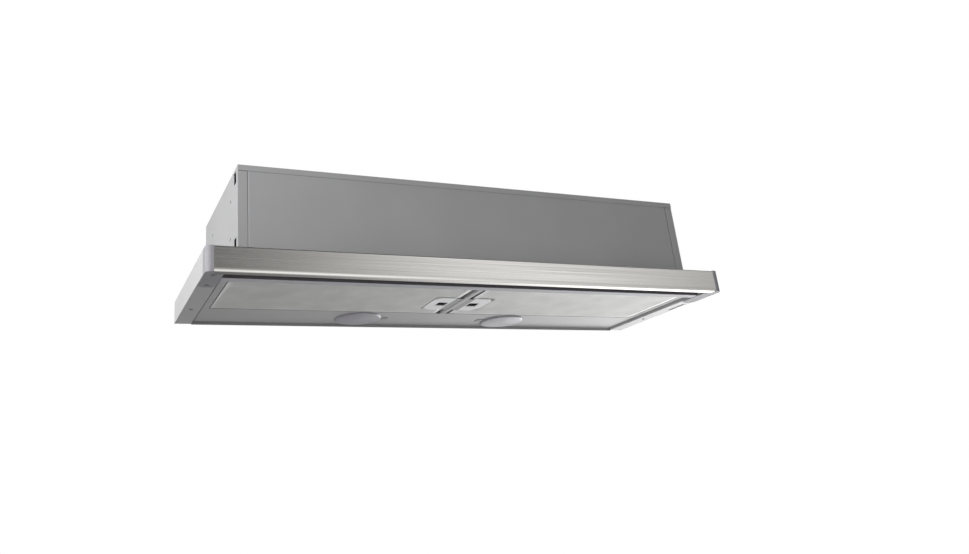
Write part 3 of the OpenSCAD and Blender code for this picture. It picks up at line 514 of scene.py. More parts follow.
@dataclass
class Palette:
    """The finish of each material slot of the record, built once each."""

    finishes: Dict[str, Finish] = field(default_factory=lambda: {
        "casing_sheet": SheetPaint("casing_paint", (0.31, 0.31, 0.315), 0.42),
        "base_sheet": SheetPaint("base_paint", (0.42, 0.42, 0.425), 0.38),
        "stainless": BrushedMetal("brushed_stainless", (0.65, 0.64, 0.615), 0.27, streak=0.05, relief=0.22),
        "cap_plastic": MouldedPlastic("cap_plastic", (0.265, 0.26, 0.28), 0.5),
        # grip rail: near-black painted shade above 1.1 mm inside the finger recess; its lower face keeps the
        # lilac grey
        "grip_plastic": TwoTonePlastic("grip_plastic", (0.42, 0.42, 0.45), 0.45, far=(0.16, 0.15, 0.16),
                                       split=Split.HEIGHT, border=1.1 * MM),
        "zinc_steel": PlatedSteel("zinc_plate", (0.32, 0.32, 0.33), 0.36, bare=0.5),
        "screw_steel": PlatedSteel("screw_plate", (0.34, 0.34, 0.36), 0.3, crystal_scale=900.0),
        "nylon": MouldedPlastic("natural_nylon", (0.78, 0.77, 0.72), 0.45),
        "filter_aluminium": PressedAluminium("filter_aluminium", (0.80, 0.80, 0.79), 0.45),
        # latch plate: pale from 17.5 to 60 mm off the middle; the grey within 17.5 mm, on the tongue by the
        # centre bar, is painted shade of the same plastic
        "latch_plate": TwoTonePlastic("latch_plate_plastic", (0.34, 0.34, 0.35), 0.45, far=(0.86, 0.86, 0.87),
                                      split=Split.WIDTH, border=17.5 * MM, reach=60.0 * MM),
        "black_plastic": MouldedPlastic("black_plastic", (0.018, 0.018, 0.02), 0.45),
        "knob_plastic": MouldedPlastic("silver_plastic", (0.5, 0.5, 0.52), 0.3,
                                       grain_scale=2200.0, grain_depth=0.03 * MM, coat=0.5),
        "board": CircuitBoard("board_lacquer", (0.02, 0.11, 0.05), 0.35, track=(0.1, 0.24, 0.1)),
        "lamp_glass": FrostedGlass("frosted_lamp_glass", (0.58, 0.565, 0.62), 0.3),
        "bulb_glass": FrostedGlass("opal_bulb_glass", (0.85, 0.83, 0.78), 0.25, transmission=0.3),
        "housing_plastic": MouldedPlastic("housing_plastic", (0.05, 0.05, 0.055), 0.5),
        "motor_paint": SheetPaint("motor_paint", (0.06, 0.06, 0.065), 0.5),
        "pale_plastic": MouldedPlastic("pale_plastic", (0.66, 0.66, 0.62), 0.42),
    })
    built: Dict[str, bpy.types.Material] = field(default_factory=dict)

    def of(self, slot: str) -> bpy.types.Material:
        """Material of a slot, built at the first call.

        Args:
            slot: Slot name in the record.

        Returns:
            The material.
        """
        if slot not in self.built:
            self.built[slot] = self.finishes[slot].material()
        return self.built[slot]


@dataclass
class FrameIndex:
    """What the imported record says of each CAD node."""

    body_of: Dict[str, str]
    slot_of: Dict[str, str]

    @classmethod
    def read(cls) -> "FrameIndex":
        """Read the record that came with the frame.

        Returns:
            The filled index.
        """
        record = frame["record"]
        bodies = record["behaviour"]["bodies"]
        return cls(
            {node: body for body, nodes in bodies.items() for node in nodes},
            {part["node"]: part["material_slot"] for part in record["subparts"]},
        )


# ---------------------------------------------------------------- meshes


@dataclass
class Workshop:
    """Makes pieces, gives them their finish and hands them to their bodies."""

    palette: Palette
    index: FrameIndex
    weld: float = 2e-6
    flat_angle: float = math.radians(0.6)
    sharp_angle: float = math.radians(38)

    def dress_nodes(self) -> None:
        """Give every CAD node the finish of its slot."""
        for node, piece in frame["nodes"].items():
            piece.data.materials.clear()
            piece.data.materials.append(self.palette.of(self.index.slot_of[node]))

    def piece(self, name: str, mesh: bpy.types.Mesh, slot: str, body: str) -> bpy.types.Object:
        """Turn a mesh in the frame of the CAD into a finished piece.

        Args:
            name: Name of the piece.
            mesh: The mesh, with its place in its vertices.
            slot: Material slot of the record.
            body: Body that the piece rides on.

        Returns:
            The new object.
        """
        mesh.name = name
        mesh.materials.clear()
        mesh.materials.append(self.palette.of(slot))
        made = in_scene(name, mesh)
        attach(made, body)
        LOG.info("%s: %d faces, rides on %s", name, len(mesh.polygons), body)
        return made

    def stand_in(self, name: str, mesh: bpy.types.Mesh, node: str) -> None:
        """Make a piece that takes the place of a CAD node, with its slot and body.

        Args:
            name: Name of the piece.
            mesh: The mesh, with its place in its vertices.
            node: The CAD node.
        """
        made = self.piece(name, mesh, self.index.slot_of[node], self.index.body_of[node])
        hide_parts(node)

    def softened(self, node: str, radius: float, segments: int = 2) -> None:
        """Put a copy with broken edges in the place of a CAD node.

        Args:
            node: The CAD node.
            radius: Radius of the broken edges in metres.
            segments: Facets across each broken edge.
        """
        shape = bmesh.new()
        shape.from_mesh(frame["nodes"][node].data)
        bmesh.ops.remove_doubles(shape, verts=shape.verts, dist=self.weld)
        bmesh.ops.dissolve_limit(shape, angle_limit=self.flat_angle, verts=shape.verts, edges=shape.edges)
        sharp = [edge for edge in shape.edges
                 if len(edge.link_faces) == 2 and edge.calc_face_angle(0.0) > self.sharp_angle]
        bmesh.ops.bevel(shape, geom=sharp, offset=radius, segments=segments, profile=0.5,
                        affect="EDGES", clamp_overlap=True)
        self.stand_in(f"{node}_form", weighted(as_mesh(shape, node)), node)

    def soften_all(self, radii: Dict[str, float]) -> None:
        """Soften several nodes, each with its radius in millimetres."""
        for node, radius in radii.items():
            self.softened(node, radius * MM)


def as_mesh(shape: bmesh.types.BMesh, name: str, smooth: bool = True) -> bpy.types.Mesh:
    """Turn a bmesh into a mesh, and free it.

    Args:
        shape: The shape.
        name: Name of the mesh.
        smooth: True for smooth faces.

    Returns:
        The mesh.
    """
    mesh = bpy.data.meshes.new(name)
    for face in shape.faces:
        face.smooth = smooth
    shape.to_mesh(mesh)
    shape.free()
    return mesh


def in_order(elements: bmesh.types.BMElemSeq, place: Callable[[object], Sequence[float]]) -> None:
    """Sort the vertices or faces of a shape by their places."""
    ranks = {element: rank for rank, element in enumerate(sorted(elements, key=place))}
    elements.sort(key=ranks.get)


def weighted(mesh: bpy.types.Mesh, weight: int = 80) -> bpy.types.Mesh:
    """Give a mesh normals weighted by face area, so that flats stay flat.

    Args:
        mesh: The mesh.
        weight: Weight of the large faces, where 50 is even.

    Returns:
        A new mesh with its own normals.
    """
    holder = in_scene("holder", mesh)
    shading = holder.modifiers.new("flats", "WEIGHTED_NORMAL")
    shading.mode = "FACE_AREA"
    shading.weight = weight
    baked = bake(holder)
    bpy.data.objects.remove(holder)
    return baked


def bake(source: bpy.types.Object) -> bpy.types.Mesh:
    """Evaluate the modifiers of an object in the scene into a plain mesh."""
    graph = bpy.context.evaluated_depsgraph_get()
    return bpy.data.meshes.new_from_object(
        source.evaluated_get(graph), preserve_all_data_layers=True, depsgraph=graph)


def ring(shape: bmesh.types.BMesh, radius: float, centre: Point, segments: int) -> Ring:
    """Add a level ring of vertices, or a single one where the radius is nought.

    Args:
        shape: The shape.
        radius: Radius of the ring.
        centre: Middle of the ring.
        segments: Steps round the ring.

    Returns:
        The vertices.
    """
    x, y, z = centre
    angles = [2 * math.pi * step / segments for step in range(segments if radius else 1)]
    return [shape.verts.new((x + radius * math.cos(angle), y + radius * math.sin(angle), z))
            for angle in angles]


def join_rings(shape: bmesh.types.BMesh, lower: Ring, upper: Ring) -> None:
    """Close the wall between two rings, either of which may be a single vertex.

    Args:
        shape: The shape.
        lower: The first ring.
        upper: The second ring.
    """
    steps = max(len(lower), len(upper))
    for step in range(steps):
        after = (step + 1) % steps
        if len(lower) == 1:
            corners = [lower[0], upper[after], upper[step]]
        elif len(upper) == 1:
            corners = [lower[step], lower[after], upper[0]]
        else:
            corners = [lower[step], lower[after], upper[after], upper[step]]
        shape.faces.new(corners)


def lathed(profile: Outline, centre: Point, segments: int) -> bpy.types.Mesh:
    """Turn a closed profile about a vertical axis.

    Args:
        profile: (radius, height) points in metres, counter-clockwise, the first
            and last on the axis.
        centre: Place of the axis.
        segments: Steps round the axis.

    Returns:
        The closed mesh.
    """
    shape = bmesh.new()
    x, y, base = centre
    rings = [ring(shape, radius, (x, y, base + height), segments) for radius, height in profile]
    for lower, upper in zip(rings, rings[1:]):
        join_rings(shape, lower, upper)
    bmesh.ops.recalc_face_normals(shape, faces=shape.faces)
    return weighted(as_mesh(shape, "lathed"))


# ---------------------------------------------------------------- geometry nodes


class NodePlan(Wiring):
    """Builds a Geometry Nodes tree with named inputs and bakes it."""

    def __init__(self, name: str) -> None:
        """Start an empty tree.

        Args:
            name: Name of the tree.
        """
        super().__init__(bpy.data.node_groups.new(name, "GeometryNodeTree"))
        for label, way in (("Geometry", "OUTPUT"), ("Carrier", "INPUT")):
            self.tree.interface.new_socket(label, in_out=way, socket_type="NodeSocketGeometry")
        self.identifiers: Dict[str, str] = {}
        self.source = self.node("NodeGroupInput")
        self.sink = self.node("NodeGroupOutput")

    def asks(self, kind: str, *names: str) -> None:
        """Add named inputs.

        Args:
            kind: Socket type without its prefix, such as Float.
            *names: Names of the inputs.
        """
        for name in names:
            made = self.tree.interface.new_socket(name, in_out="INPUT", socket_type=f"NodeSocket{kind}")
            self.identifiers[name] = made.identifier

    def given(self, name: str) -> Socket:
        """Socket of a named input."""
        return self.source.outputs[name]

    def whole(self, value: Socket) -> Socket:
        """Round a number down."""
        return self.node("FunctionNodeFloatToInt", {"rounding_mode": "FLOOR"}, Float=value).outputs[0]

    def parity(self) -> Socket:
        """0 or 1 by turns along the points."""
        return self.maths("MODULO", self.node("GeometryNodeInputIndex"), 2.0)

    def ends(self, geometry: bpy.types.Node) -> None:
        """Close the tree with Realize Instances and Set Material.

        Args:
            geometry: The node whose first output is the result.
        """
        self.asks("Material", "Finish")
        real = self.node("GeometryNodeRealizeInstances", Geometry=geometry)
        dressed = self.node("GeometryNodeSetMaterial", Geometry=real, Material=self.given("Finish"))
        self.wire(self.sink.inputs[0], dressed)

    def baked(self, values: Dict[str, object], carrier: Optional[bpy.types.Mesh] = None) -> bpy.types.Mesh:
        """Run the tree once.

        Args:
            values: Value of each named input.
            carrier: Mesh that the tree starts from, if any.

        Returns:
            The resulting plain mesh.
        """
        holder = in_scene("carrier", carrier or bpy.data.meshes.new("carrier"))
        modifier = holder.modifiers.new(self.tree.name, "NODES")
        modifier.node_group = self.tree
        for name, value in values.items():
            modifier[self.identifiers[name]] = value
        mesh = bake(holder)
        bpy.data.objects.remove(holder)
        return mesh


def strand_plan() -> NodePlan:
    """Tree of the expanded metal: zigzag strands whose tips meet in diamonds.

    Returns:
        The tree, with inputs for its sizes.
    """
    plan = NodePlan("expanded_metal")
    plan.asks("Float", "Width", "Depth", "Pitch", "Row Pitch", "Strand", "Gauge")
    plan.asks("Vector", "Corner", "Pocket Low", "Pocket High")
    half = plan.maths("MULTIPLY", plan.given("Pitch"), 0.5)
    steps = plan.whole(plan.maths("DIVIDE", plan.given("Width"), half))
    line = plan.node("GeometryNodeMeshLine", Count=steps, Offset=plan.node("ShaderNodeCombineXYZ", X=half))
    rise = plan.node("ShaderNodeCombineXYZ", Y=plan.maths("MULTIPLY", plan.parity(), plan.given("Row Pitch")))
    zigzag = plan.node("GeometryNodeSetPosition", Geometry=line, Offset=rise)
    rows = plan.whole(plan.maths("DIVIDE", plan.given("Depth"), plan.given("Row Pitch")))
    column = plan.node("GeometryNodeMeshLine", Count=rows, Start_Location=plan.given("Corner"),
                       Offset=plan.node("ShaderNodeCombineXYZ", Y=plan.given("Row Pitch")))
    shift = plan.node("ShaderNodeCombineXYZ", X=plan.maths("MULTIPLY", plan.parity(), half))
    staggered = plan.node("GeometryNodeSetPosition", Geometry=column, Offset=shift)
    net = plan.node("GeometryNodeInstanceOnPoints", Points=staggered, Instance=zigzag)
    edges = plan.node("GeometryNodeRealizeInstances", Geometry=net)
    place = plan.node("GeometryNodeInputPosition")
    pocket = plan.node("FunctionNodeBooleanMath", {"operation": "AND"})
    limits = (("GREATER_THAN", "Pocket Low"), ("LESS_THAN", "Pocket High"))
    for socket, (operation, limit) in zip(pocket.inputs, limits):
        test = plan.node("FunctionNodeCompare", {"data_type": "VECTOR", "operation": operation})
        first, second = of_kind(test.inputs, "VECTOR")[:2]
        plan.wire(first, place)
        plan.wire(second, plan.given(limit))
        plan.wire(socket, test)
    cut = plan.node("GeometryNodeDeleteGeometry", {"domain": "POINT"}, Geometry=edges, Selection=pocket)
    curves = plan.node("GeometryNodeMeshToCurve", Mesh=cut)
    level = plan.node("GeometryNodeSetCurveNormal", {"mode": "Z_UP"}, Curve=curves)
    section = plan.node("GeometryNodeCurvePrimitiveQuadrilateral",
                        Width=plan.given("Strand"), Height=plan.given("Gauge"))
    plan.ends(plan.node("GeometryNodeCurveToMesh", Curve=level, Profile_Curve=section, Fill_Caps=True))
    return plan


def screw_plan() -> NodePlan:
    """Tree that sets one screw on each point of a carrier, turned at random.

    Returns:
        The tree, with inputs for the screw and the seed.
    """
    plan = NodePlan("screw_set")
    plan.asks("Object", "Screw")
    plan.asks("Int", "Seed")
    info = plan.node("GeometryNodeObjectInfo", Object=plan.given("Screw"))
    turn = plan.node("FunctionNodeRandomValue", {"data_type": "FLOAT"}, Seed=plan.given("Seed"))
    for socket, limit in zip(of_kind(turn.inputs, "VALUE"), (0.0, math.pi)):
        plan.wire(socket, limit)
    angle = plan.node("ShaderNodeCombineXYZ", Z=of_kind(turn.outputs, "VALUE")[0])
    points = plan.node("GeometryNodeMeshToPoints", Mesh=plan.given("Carrier"))
    rotation = plan.node("FunctionNodeEulerToRotation", Euler=angle)
    plan.ends(plan.node("GeometryNodeInstanceOnPoints", Points=points,
                        Instance=info.outputs["Geometry"], Rotation=rotation))
    return plan


# ---------------------------------------------------------------- screws


@dataclass(frozen=True)
class Screw:
    """Cross recess screw: rounded head, shank below, both along Z.

    The rounding holds the steps of the head's edge as (inset, drop), in shares
    of its bevel, and the arm, blade and taper of the cross are shares of the
    head's radius and of the cross's own mouth.
    """

    head_radius: float = 3.2 * MM
    head_height: float = 0.9 * MM
    shank_radius: float = 1.6 * MM
    shank_length: float = 4.0 * MM
    recess: float = 0.7 * MM
    segments: int = 32
    bevel: float = 0.3
    rounding: Tuple[Tuple[float, float], ...] = ((0.0, 1.0), (0.6, 0.3), (1.6, 0.0))
    arm: float = 0.55
    blade: float = 0.15
    taper: float = 0.7

    def cross(self) -> Outline:
        """Outline of the cross recess.

        Returns:
            (x, y) points, anticlockwise.
        """
        arm, blade = self.arm * self.head_radius, self.blade * self.head_radius
        quarter = [(arm, -blade), (arm, blade), (blade, blade)]
        outline = list(quarter)
        for _ in range(3):
            quarter = [(-y, x) for x, y in quarter]
            outline += quarter
        return outline

    def mesh(self, downwards: bool) -> bpy.types.Mesh:
        """Build the screw with the underside of its head at the origin.

        Args:
            downwards: True if the head looks down.

        Returns:
            The closed mesh.
        """
        shape = bmesh.new()
        bevel = self.bevel * self.head_height
        profile = [(self.shank_radius, -self.shank_length), (self.shank_radius, 0.0), (self.head_radius, 0.0)]
        profile += [(self.head_radius - inset * bevel, self.head_height - drop * bevel)
                    for inset, drop in self.rounding]
        rings = [ring(shape, radius, (0.0, 0.0, height), self.segments) for radius, height in profile]
        for low, high in zip(rings, rings[1:]):
            join_rings(shape, low, high)
        shape.faces.new(list(reversed(rings[0])))
        mouth = [shape.verts.new((x, y, self.head_height)) for x, y in self.cross()]
        floor = [shape.verts.new((self.taper * x, self.taper * y, self.head_height - self.recess))
                 for x, y in self.cross()]
        crown = rings[-1]
        rim = [shape.edges.new(pair) for pair in zip(mouth, mouth[1:] + mouth[:1])]
        border = [shape.edges.get(pair) for pair in zip(crown, crown[1:] + crown[:1])]
        bmesh.ops.triangle_fill(shape, use_beauty=True, edges=rim + border)
        join_rings(shape, mouth, floor)
        shape.faces.new(floor)
        if downwards:
            bmesh.ops.rotate(shape, verts=shape.verts, matrix=Matrix.Rotation(math.pi, 3, "X"))
        bmesh.ops.recalc_face_normals(shape, faces=shape.faces)
        return as_mesh(shape, "screw", smooth=False)


@dataclass
class ScrewRows:
    """Sets of equal screws, one piece for each body."""

    workshop: Workshop
    plan: NodePlan = field(default_factory=screw_plan)

    def place(self, name: str, screw: Screw, downwards: bool, points: Sequence[Point], node: str,
              seed: int) -> None:
        """Place one set of screws.

        Args:
            name: Name of the piece.
            screw: The screw.
            downwards: True if the heads look down.
            points: Where the undersides of the heads sit.
            node: CAD node that the set stands for.
            seed: Seed of their turns.
        """
        pattern = in_scene("screw_pattern", screw.mesh(downwards))
        carrier = bpy.data.meshes.new("screw_points")
        carrier.from_pydata(points, [], [])
        finish = self.workshop.palette.of(self.workshop.index.slot_of[node])
        mesh = self.plan.baked({"Screw": pattern, "Seed": seed, "Finish": finish}, carrier)
        bpy.data.objects.remove(pattern)
        self.workshop.stand_in(name, mesh, node)


def mirrored(x: float, rows_y: Sequence[float], z: float) -> List[Point]:
    """Points in rows at both ends of the hood, the left end first."""
    return [(side.sign * x, y, z) for side in Side for y in rows_y]


# ---------------------------------------------------------------- sub-assemblies


@dataclass
class Casing:
    """Upper casing: folded sheets with broken edges, and its screws."""

    workshop: Workshop
    screws: ScrewRows
    bend_radius: float = 0.48 * MM
    top: float = 175 * MM
    screw: Screw = Screw(head_height=1.9 * MM, shank_length=2.0 * MM)
    screw_x: float = 392 * MM
    screw_rows_y: Tuple[float, ...] = (-60 * MM, 0.0, 120 * MM)
    screw_seed: int = 7
    collar_y: float = 60.07 * MM
    collar_flange: float = 2 * MM
    collar_screw_radius: float = 83.5 * MM
    collar_screw_turns: Tuple[float, ...] = (45, 135, 225, 315)

    def build(self) -> None:
        """Build the sheets and screws."""
        self.workshop.soften_all({"top_cover": 0.3, "side_panel_left": 0.3, "side_panel_right": 0.3,
                                  "rear_panel": 0.3})
        self.workshop.softened("front_panel", self.bend_radius, segments=3)
        self.workshop.soften_all({"runner_bracket_left": 0.2, "runner_bracket_right": 0.2,
                                  "motor_bracket": 0.2, "lamp_holders": 0.2})
        points = mirrored(self.screw_x, self.screw_rows_y, self.top)
        for turn in map(math.radians, self.collar_screw_turns):
            points.append((self.collar_screw_radius * math.cos(turn),
                           self.collar_y + self.collar_screw_radius * math.sin(turn),
                           self.top + self.collar_flange))
        self.screws.place("casing_screw_heads", self.screw, False, points, "casing_screws", self.screw_seed)


@dataclass
class PullOutSection:
    """Fascia, end caps, rails and grip of the section that pulls out."""

    workshop: Workshop
    screws: ScrewRows
    screw_x: float = 436 * MM
    screw_rows_y: Tuple[float, ...] = (-131 * MM, -82.6 * MM, 56 * MM)
    screw_seed: int = 11
    tongue: float = 1.2 * MM

    def build(self) -> None:
        """Build the front section."""
        self.workshop.soften_all({
            "fascia": 0.3, "end_cap_left": 0.6, "end_cap_right": 0.6, "grip_rail": 0.5,
            "side_rail_left": 0.3, "side_rail_right": 0.3, "visor_plate": 0.25, "visor_glides": 0.4,
            "control_bezel": 0.4, "speed_knob": 0.35, "light_knob": 0.35, "switch_board": 0.2})
        points = mirrored(self.screw_x, self.screw_rows_y, self.tongue)
        self.screws.place("drawer_screw_heads", Screw(), True, points, "drawer_screws", self.screw_seed)


@dataclass
class Underside:
    """Fixed tray with the bar between the filters."""

    workshop: Workshop

    def build(self) -> None:
        """Build the tray, the bar and the ears that the filters swing on."""
        self.workshop.soften_all({"underside_panel": 0.35, "centre_bar": 0.3, "filter_hooks": 0.2})


@dataclass
class GreaseFilter:
    """One grease filter: frame, expanded metal, core sheet and latch."""

    workshop: Workshop
    side: Side
    plan: NodePlan
    pitch: float = 4.0 * MM
    row_pitch: float = 2.9 * MM
    strand: float = 0.8 * MM
    gauge: float = 0.25 * MM
    inner: float = 14.0 * MM
    outer: float = 405.0 * MM
    margin: float = 0.3 * MM
    front: float = -92.0 * MM
    rear: float = 63.0 * MM
    low_z: float = 6.0 * MM
    core_z: float = 6.75 * MM
    top_z: float = 13.75 * MM
    pocket_depth: float = 33.0 * MM
    pocket_half: float = 34.0 * MM
    pocket_z: Tuple[float, float] = (-1.0, 1.0)
    latch_y: float = 1.5 * MM
    core_cell: float = 5.0 * MM
    core_sheet: float = 0.4 * MM
    dent: float = 0.25 * MM
    fine_dents: Tuple[float, float] = (410.0, 530.0)
    broad_dents: Tuple[float, float] = (170.0, 260.0)
    broad_share: float = 0.6

    def build(self) -> None:
        """Build the filter and hand its pieces to its body."""
        word, slot, body = self.side.word, "filter_aluminium", f"filter_{self.side.word}"
        self.workshop.stand_in(f"expanded_metal_low_{word}", self.layer(self.low_z), f"filter_mesh_{word}")
        self.workshop.piece(f"expanded_metal_top_{word}", self.layer(self.top_z), slot, body)
        self.workshop.piece(f"filter_core_{word}", self.core(), slot, body)
        self.workshop.softened(f"filter_frame_{word}", radius=0.5 * MM, segments=3)
        self.workshop.soften_all({f"filter_latch_{word}": 0.45, f"latch_slider_{word}": 0.35})

    def span(self, near: float, far: float) -> Tuple[float, float]:
        """Lowest and highest X between two distances from the hood's middle."""
        low, high = sorted((self.side.sign * near, self.side.sign * far))
        return low, high

    def layer(self, height: float) -> bpy.types.Mesh:
        """Build one layer of expanded metal, cut out round the latch.

        Args:
            height: Height of its middle.

        Returns:
            The mesh.
        """
        x_low, x_high = self.span(self.inner, self.outer)
        pocket_low, pocket_high = self.span(0.0, self.inner + self.pocket_depth)
        floor, ceiling = self.pocket_z
        return self.plan.baked({
            "Width": x_high - x_low - 0.5 * self.pitch, "Depth": self.rear - self.front,
            "Pitch": self.pitch, "Row Pitch": self.row_pitch, "Strand": self.strand, "Gauge": self.gauge,
            "Corner": (x_low + self.margin, self.front, height),
            "Pocket Low": (pocket_low, self.latch_y - self.pocket_half, floor),
            "Pocket High": (pocket_high, self.latch_y + self.pocket_half, ceiling),
            "Finish": self.workshop.palette.of("filter_aluminium"),
        })

    def dented(self, x: float, y: float) -> float:
        """Height of the crumpled core sheet at a place.

        Args:
            x: Place along the width.
            y: Place along the depth.

        Returns:
            The height.
        """
        fine = math.sin(self.fine_dents[0] * x) * math.cos(self.fine_dents[1] * y)
        broad = math.sin(self.broad_dents[0] * x + self.broad_dents[1] * y)
        return self.core_z + self.dent * (fine + self.broad_share * broad)

    def core(self) -> bpy.types.Mesh:
        """Build the crumpled core sheet between the two outer layers.

        Returns:
            The closed mesh.
        """
        x_low, x_high = self.span(self.inner, self.outer)
        width, depth = x_high - x_low, self.rear - self.front
        columns, rows = int(width / self.core_cell), int(depth / self.core_cell)
        pocket_x = self.inner + self.pocket_depth + self.core_cell
        pocket_y = self.pocket_half + self.core_cell / 2

        def place(column: float, row: float) -> Tuple[float, float]:
            """Place of a point of the grid."""
            return x_low + width * column / columns, self.front + depth * row / rows

        shape = bmesh.new()
        grid: Dict[Tuple[int, int], bmesh.types.BMVert] = {}
        for column in range(columns + 1):
            for row in range(rows + 1):
                x, y = place(column, row)
                grid[column, row] = shape.verts.new((x, y, self.dented(x, y)))
        for column in range(columns):
            for row in range(rows):
                x, y = place(column + 0.5, row + 0.5)
                if abs(x) < pocket_x and abs(y - self.latch_y) < pocket_y:
                    continue
                shape.faces.new([grid[column, row], grid[column + 1, row],
                                 grid[column + 1, row + 1], grid[column, row + 1]])
        loose = [vertex for vertex in shape.verts if not vertex.link_faces]
        bmesh.ops.delete(shape, geom=loose, context="VERTS")
        bmesh.ops.solidify(shape, geom=shape.faces, thickness=self.core_sheet)
        bmesh.ops.recalc_face_normals(shape, faces=shape.faces)
        # Solidify leaves its rim in no fixed order, so that two runs would differ
        in_order(shape.verts, lambda vertex: vertex.co[:])
        in_order(shape.faces, lambda face: face.calc_center_median()[:])
        return as_mesh(shape, "core")


@dataclass
class Lamp:
    """Ribbed lens of one lamp; its clip, cup and bulb are the CAD's own."""

    workshop: Workshop
    side: Side
    offset: float = 143 * MM
    depth: float = 107.5 * MM
    radius: float = 41 * MM
    low: float = 0.6 * MM
    high: float = 5.5 * MM
    ring_inner: float = 33.5 * MM
    ring_wall: float = 1.2 * MM
    ring_top: float = 10.5 * MM
    rib_pitch: float = 2.2 * MM
    rib_depth: float = 0.12 * MM
    rib_steps: int = 6
    wall: float = 1.6 * MM
    rim: float = 3.6 * MM
    rim_steps: int = 6
    bulge: float = 1.4 * MM
    segments: int = 128

    def build(self) -> None:
        """Build the lens."""
        centre = (self.side.sign * self.offset, self.depth, 0.0)
        lens = lathed(self.profile(), centre, self.segments)
        self.workshop.stand_in(f"lens_{self.side.word}", lens, f"lamp_lens_{self.side.word}")

    def profile(self) -> Outline:
        """Section of the lens.

        Returns:
            (radius, height) points from the axis below to the axis above.
        """
        points = [(0.0, self.low + self.rib_depth)]
        dome = self.radius - self.rim
        steps = int(dome / self.rib_pitch) * self.rib_steps
        for step in range(1, steps + 1):
            radius = dome * step / steps
            rib = 0.5 * self.rib_depth * (1 + math.cos(2 * math.pi * radius / self.rib_pitch))
            points.append((radius, self.low + self.bulge * (radius / dome) ** 2 + rib))
        lift = self.low + self.bulge
        for step in range(1, self.rim_steps + 1):
            angle = math.pi / 2 * step / self.rim_steps
            points.append((dome + self.rim * math.sin(angle),
                           lift + (self.high - lift) * (1 - math.cos(angle))))
        ring_outer = self.ring_inner + self.ring_wall
        points += [(ring_outer, self.high), (ring_outer, self.ring_top), (self.ring_inner, self.ring_top),
                   (self.ring_inner, self.high), (0.0, self.low + self.wall)]
        return points


@dataclass
class Mechanics:
    """Slides, blower, outlet and electrics, mostly seen when the hood is open or from behind."""

    workshop: Workshop

    def build(self) -> None:
        """Break the edges of the parts that are seen from outside or in motion."""
        self.workshop.soften_all({
            "outlet_collar": 0.4, "cable_gland": 0.5, "flap_front": 0.3, "flap_rear": 0.3,
            "capacitor": 0.5, "electronics_box": 0.5, "volute_left": 0.4, "volute_right": 0.4,
            "motor_body": 0.6, "lens_clips": 0.3, "microswitch": 0.3})
        for side in Side:
            self.workshop.soften_all({
                f"{family}_{side.word}": 0.2
                for family in ("cabinet_slide", "slide_middle", "drawer_slide", "slide_glides")})


# ---------------------------------------------------------------- studio


@dataclass(frozen=True)
class Glow:
    """A broad bright patch of the surroundings."""

    azimuth: float
    elevation: float
    sharpness: float
    strength: float

    def axis(self) -> Vector:
        """Direction towards the patch; azimuth 0 is +Y and 90 is +X."""
        turn, rise = math.radians(self.azimuth), math.radians(self.elevation)
        return Vector((math.sin(turn) * math.cos(rise), math.cos(turn) * math.cos(rise), math.sin(rise)))


@dataclass(frozen=True)
class SoftBox:
    """A large soft lamp aimed at a point of the hood."""

    name: str
    place: Point
    target: Point
    size: float
    power: float


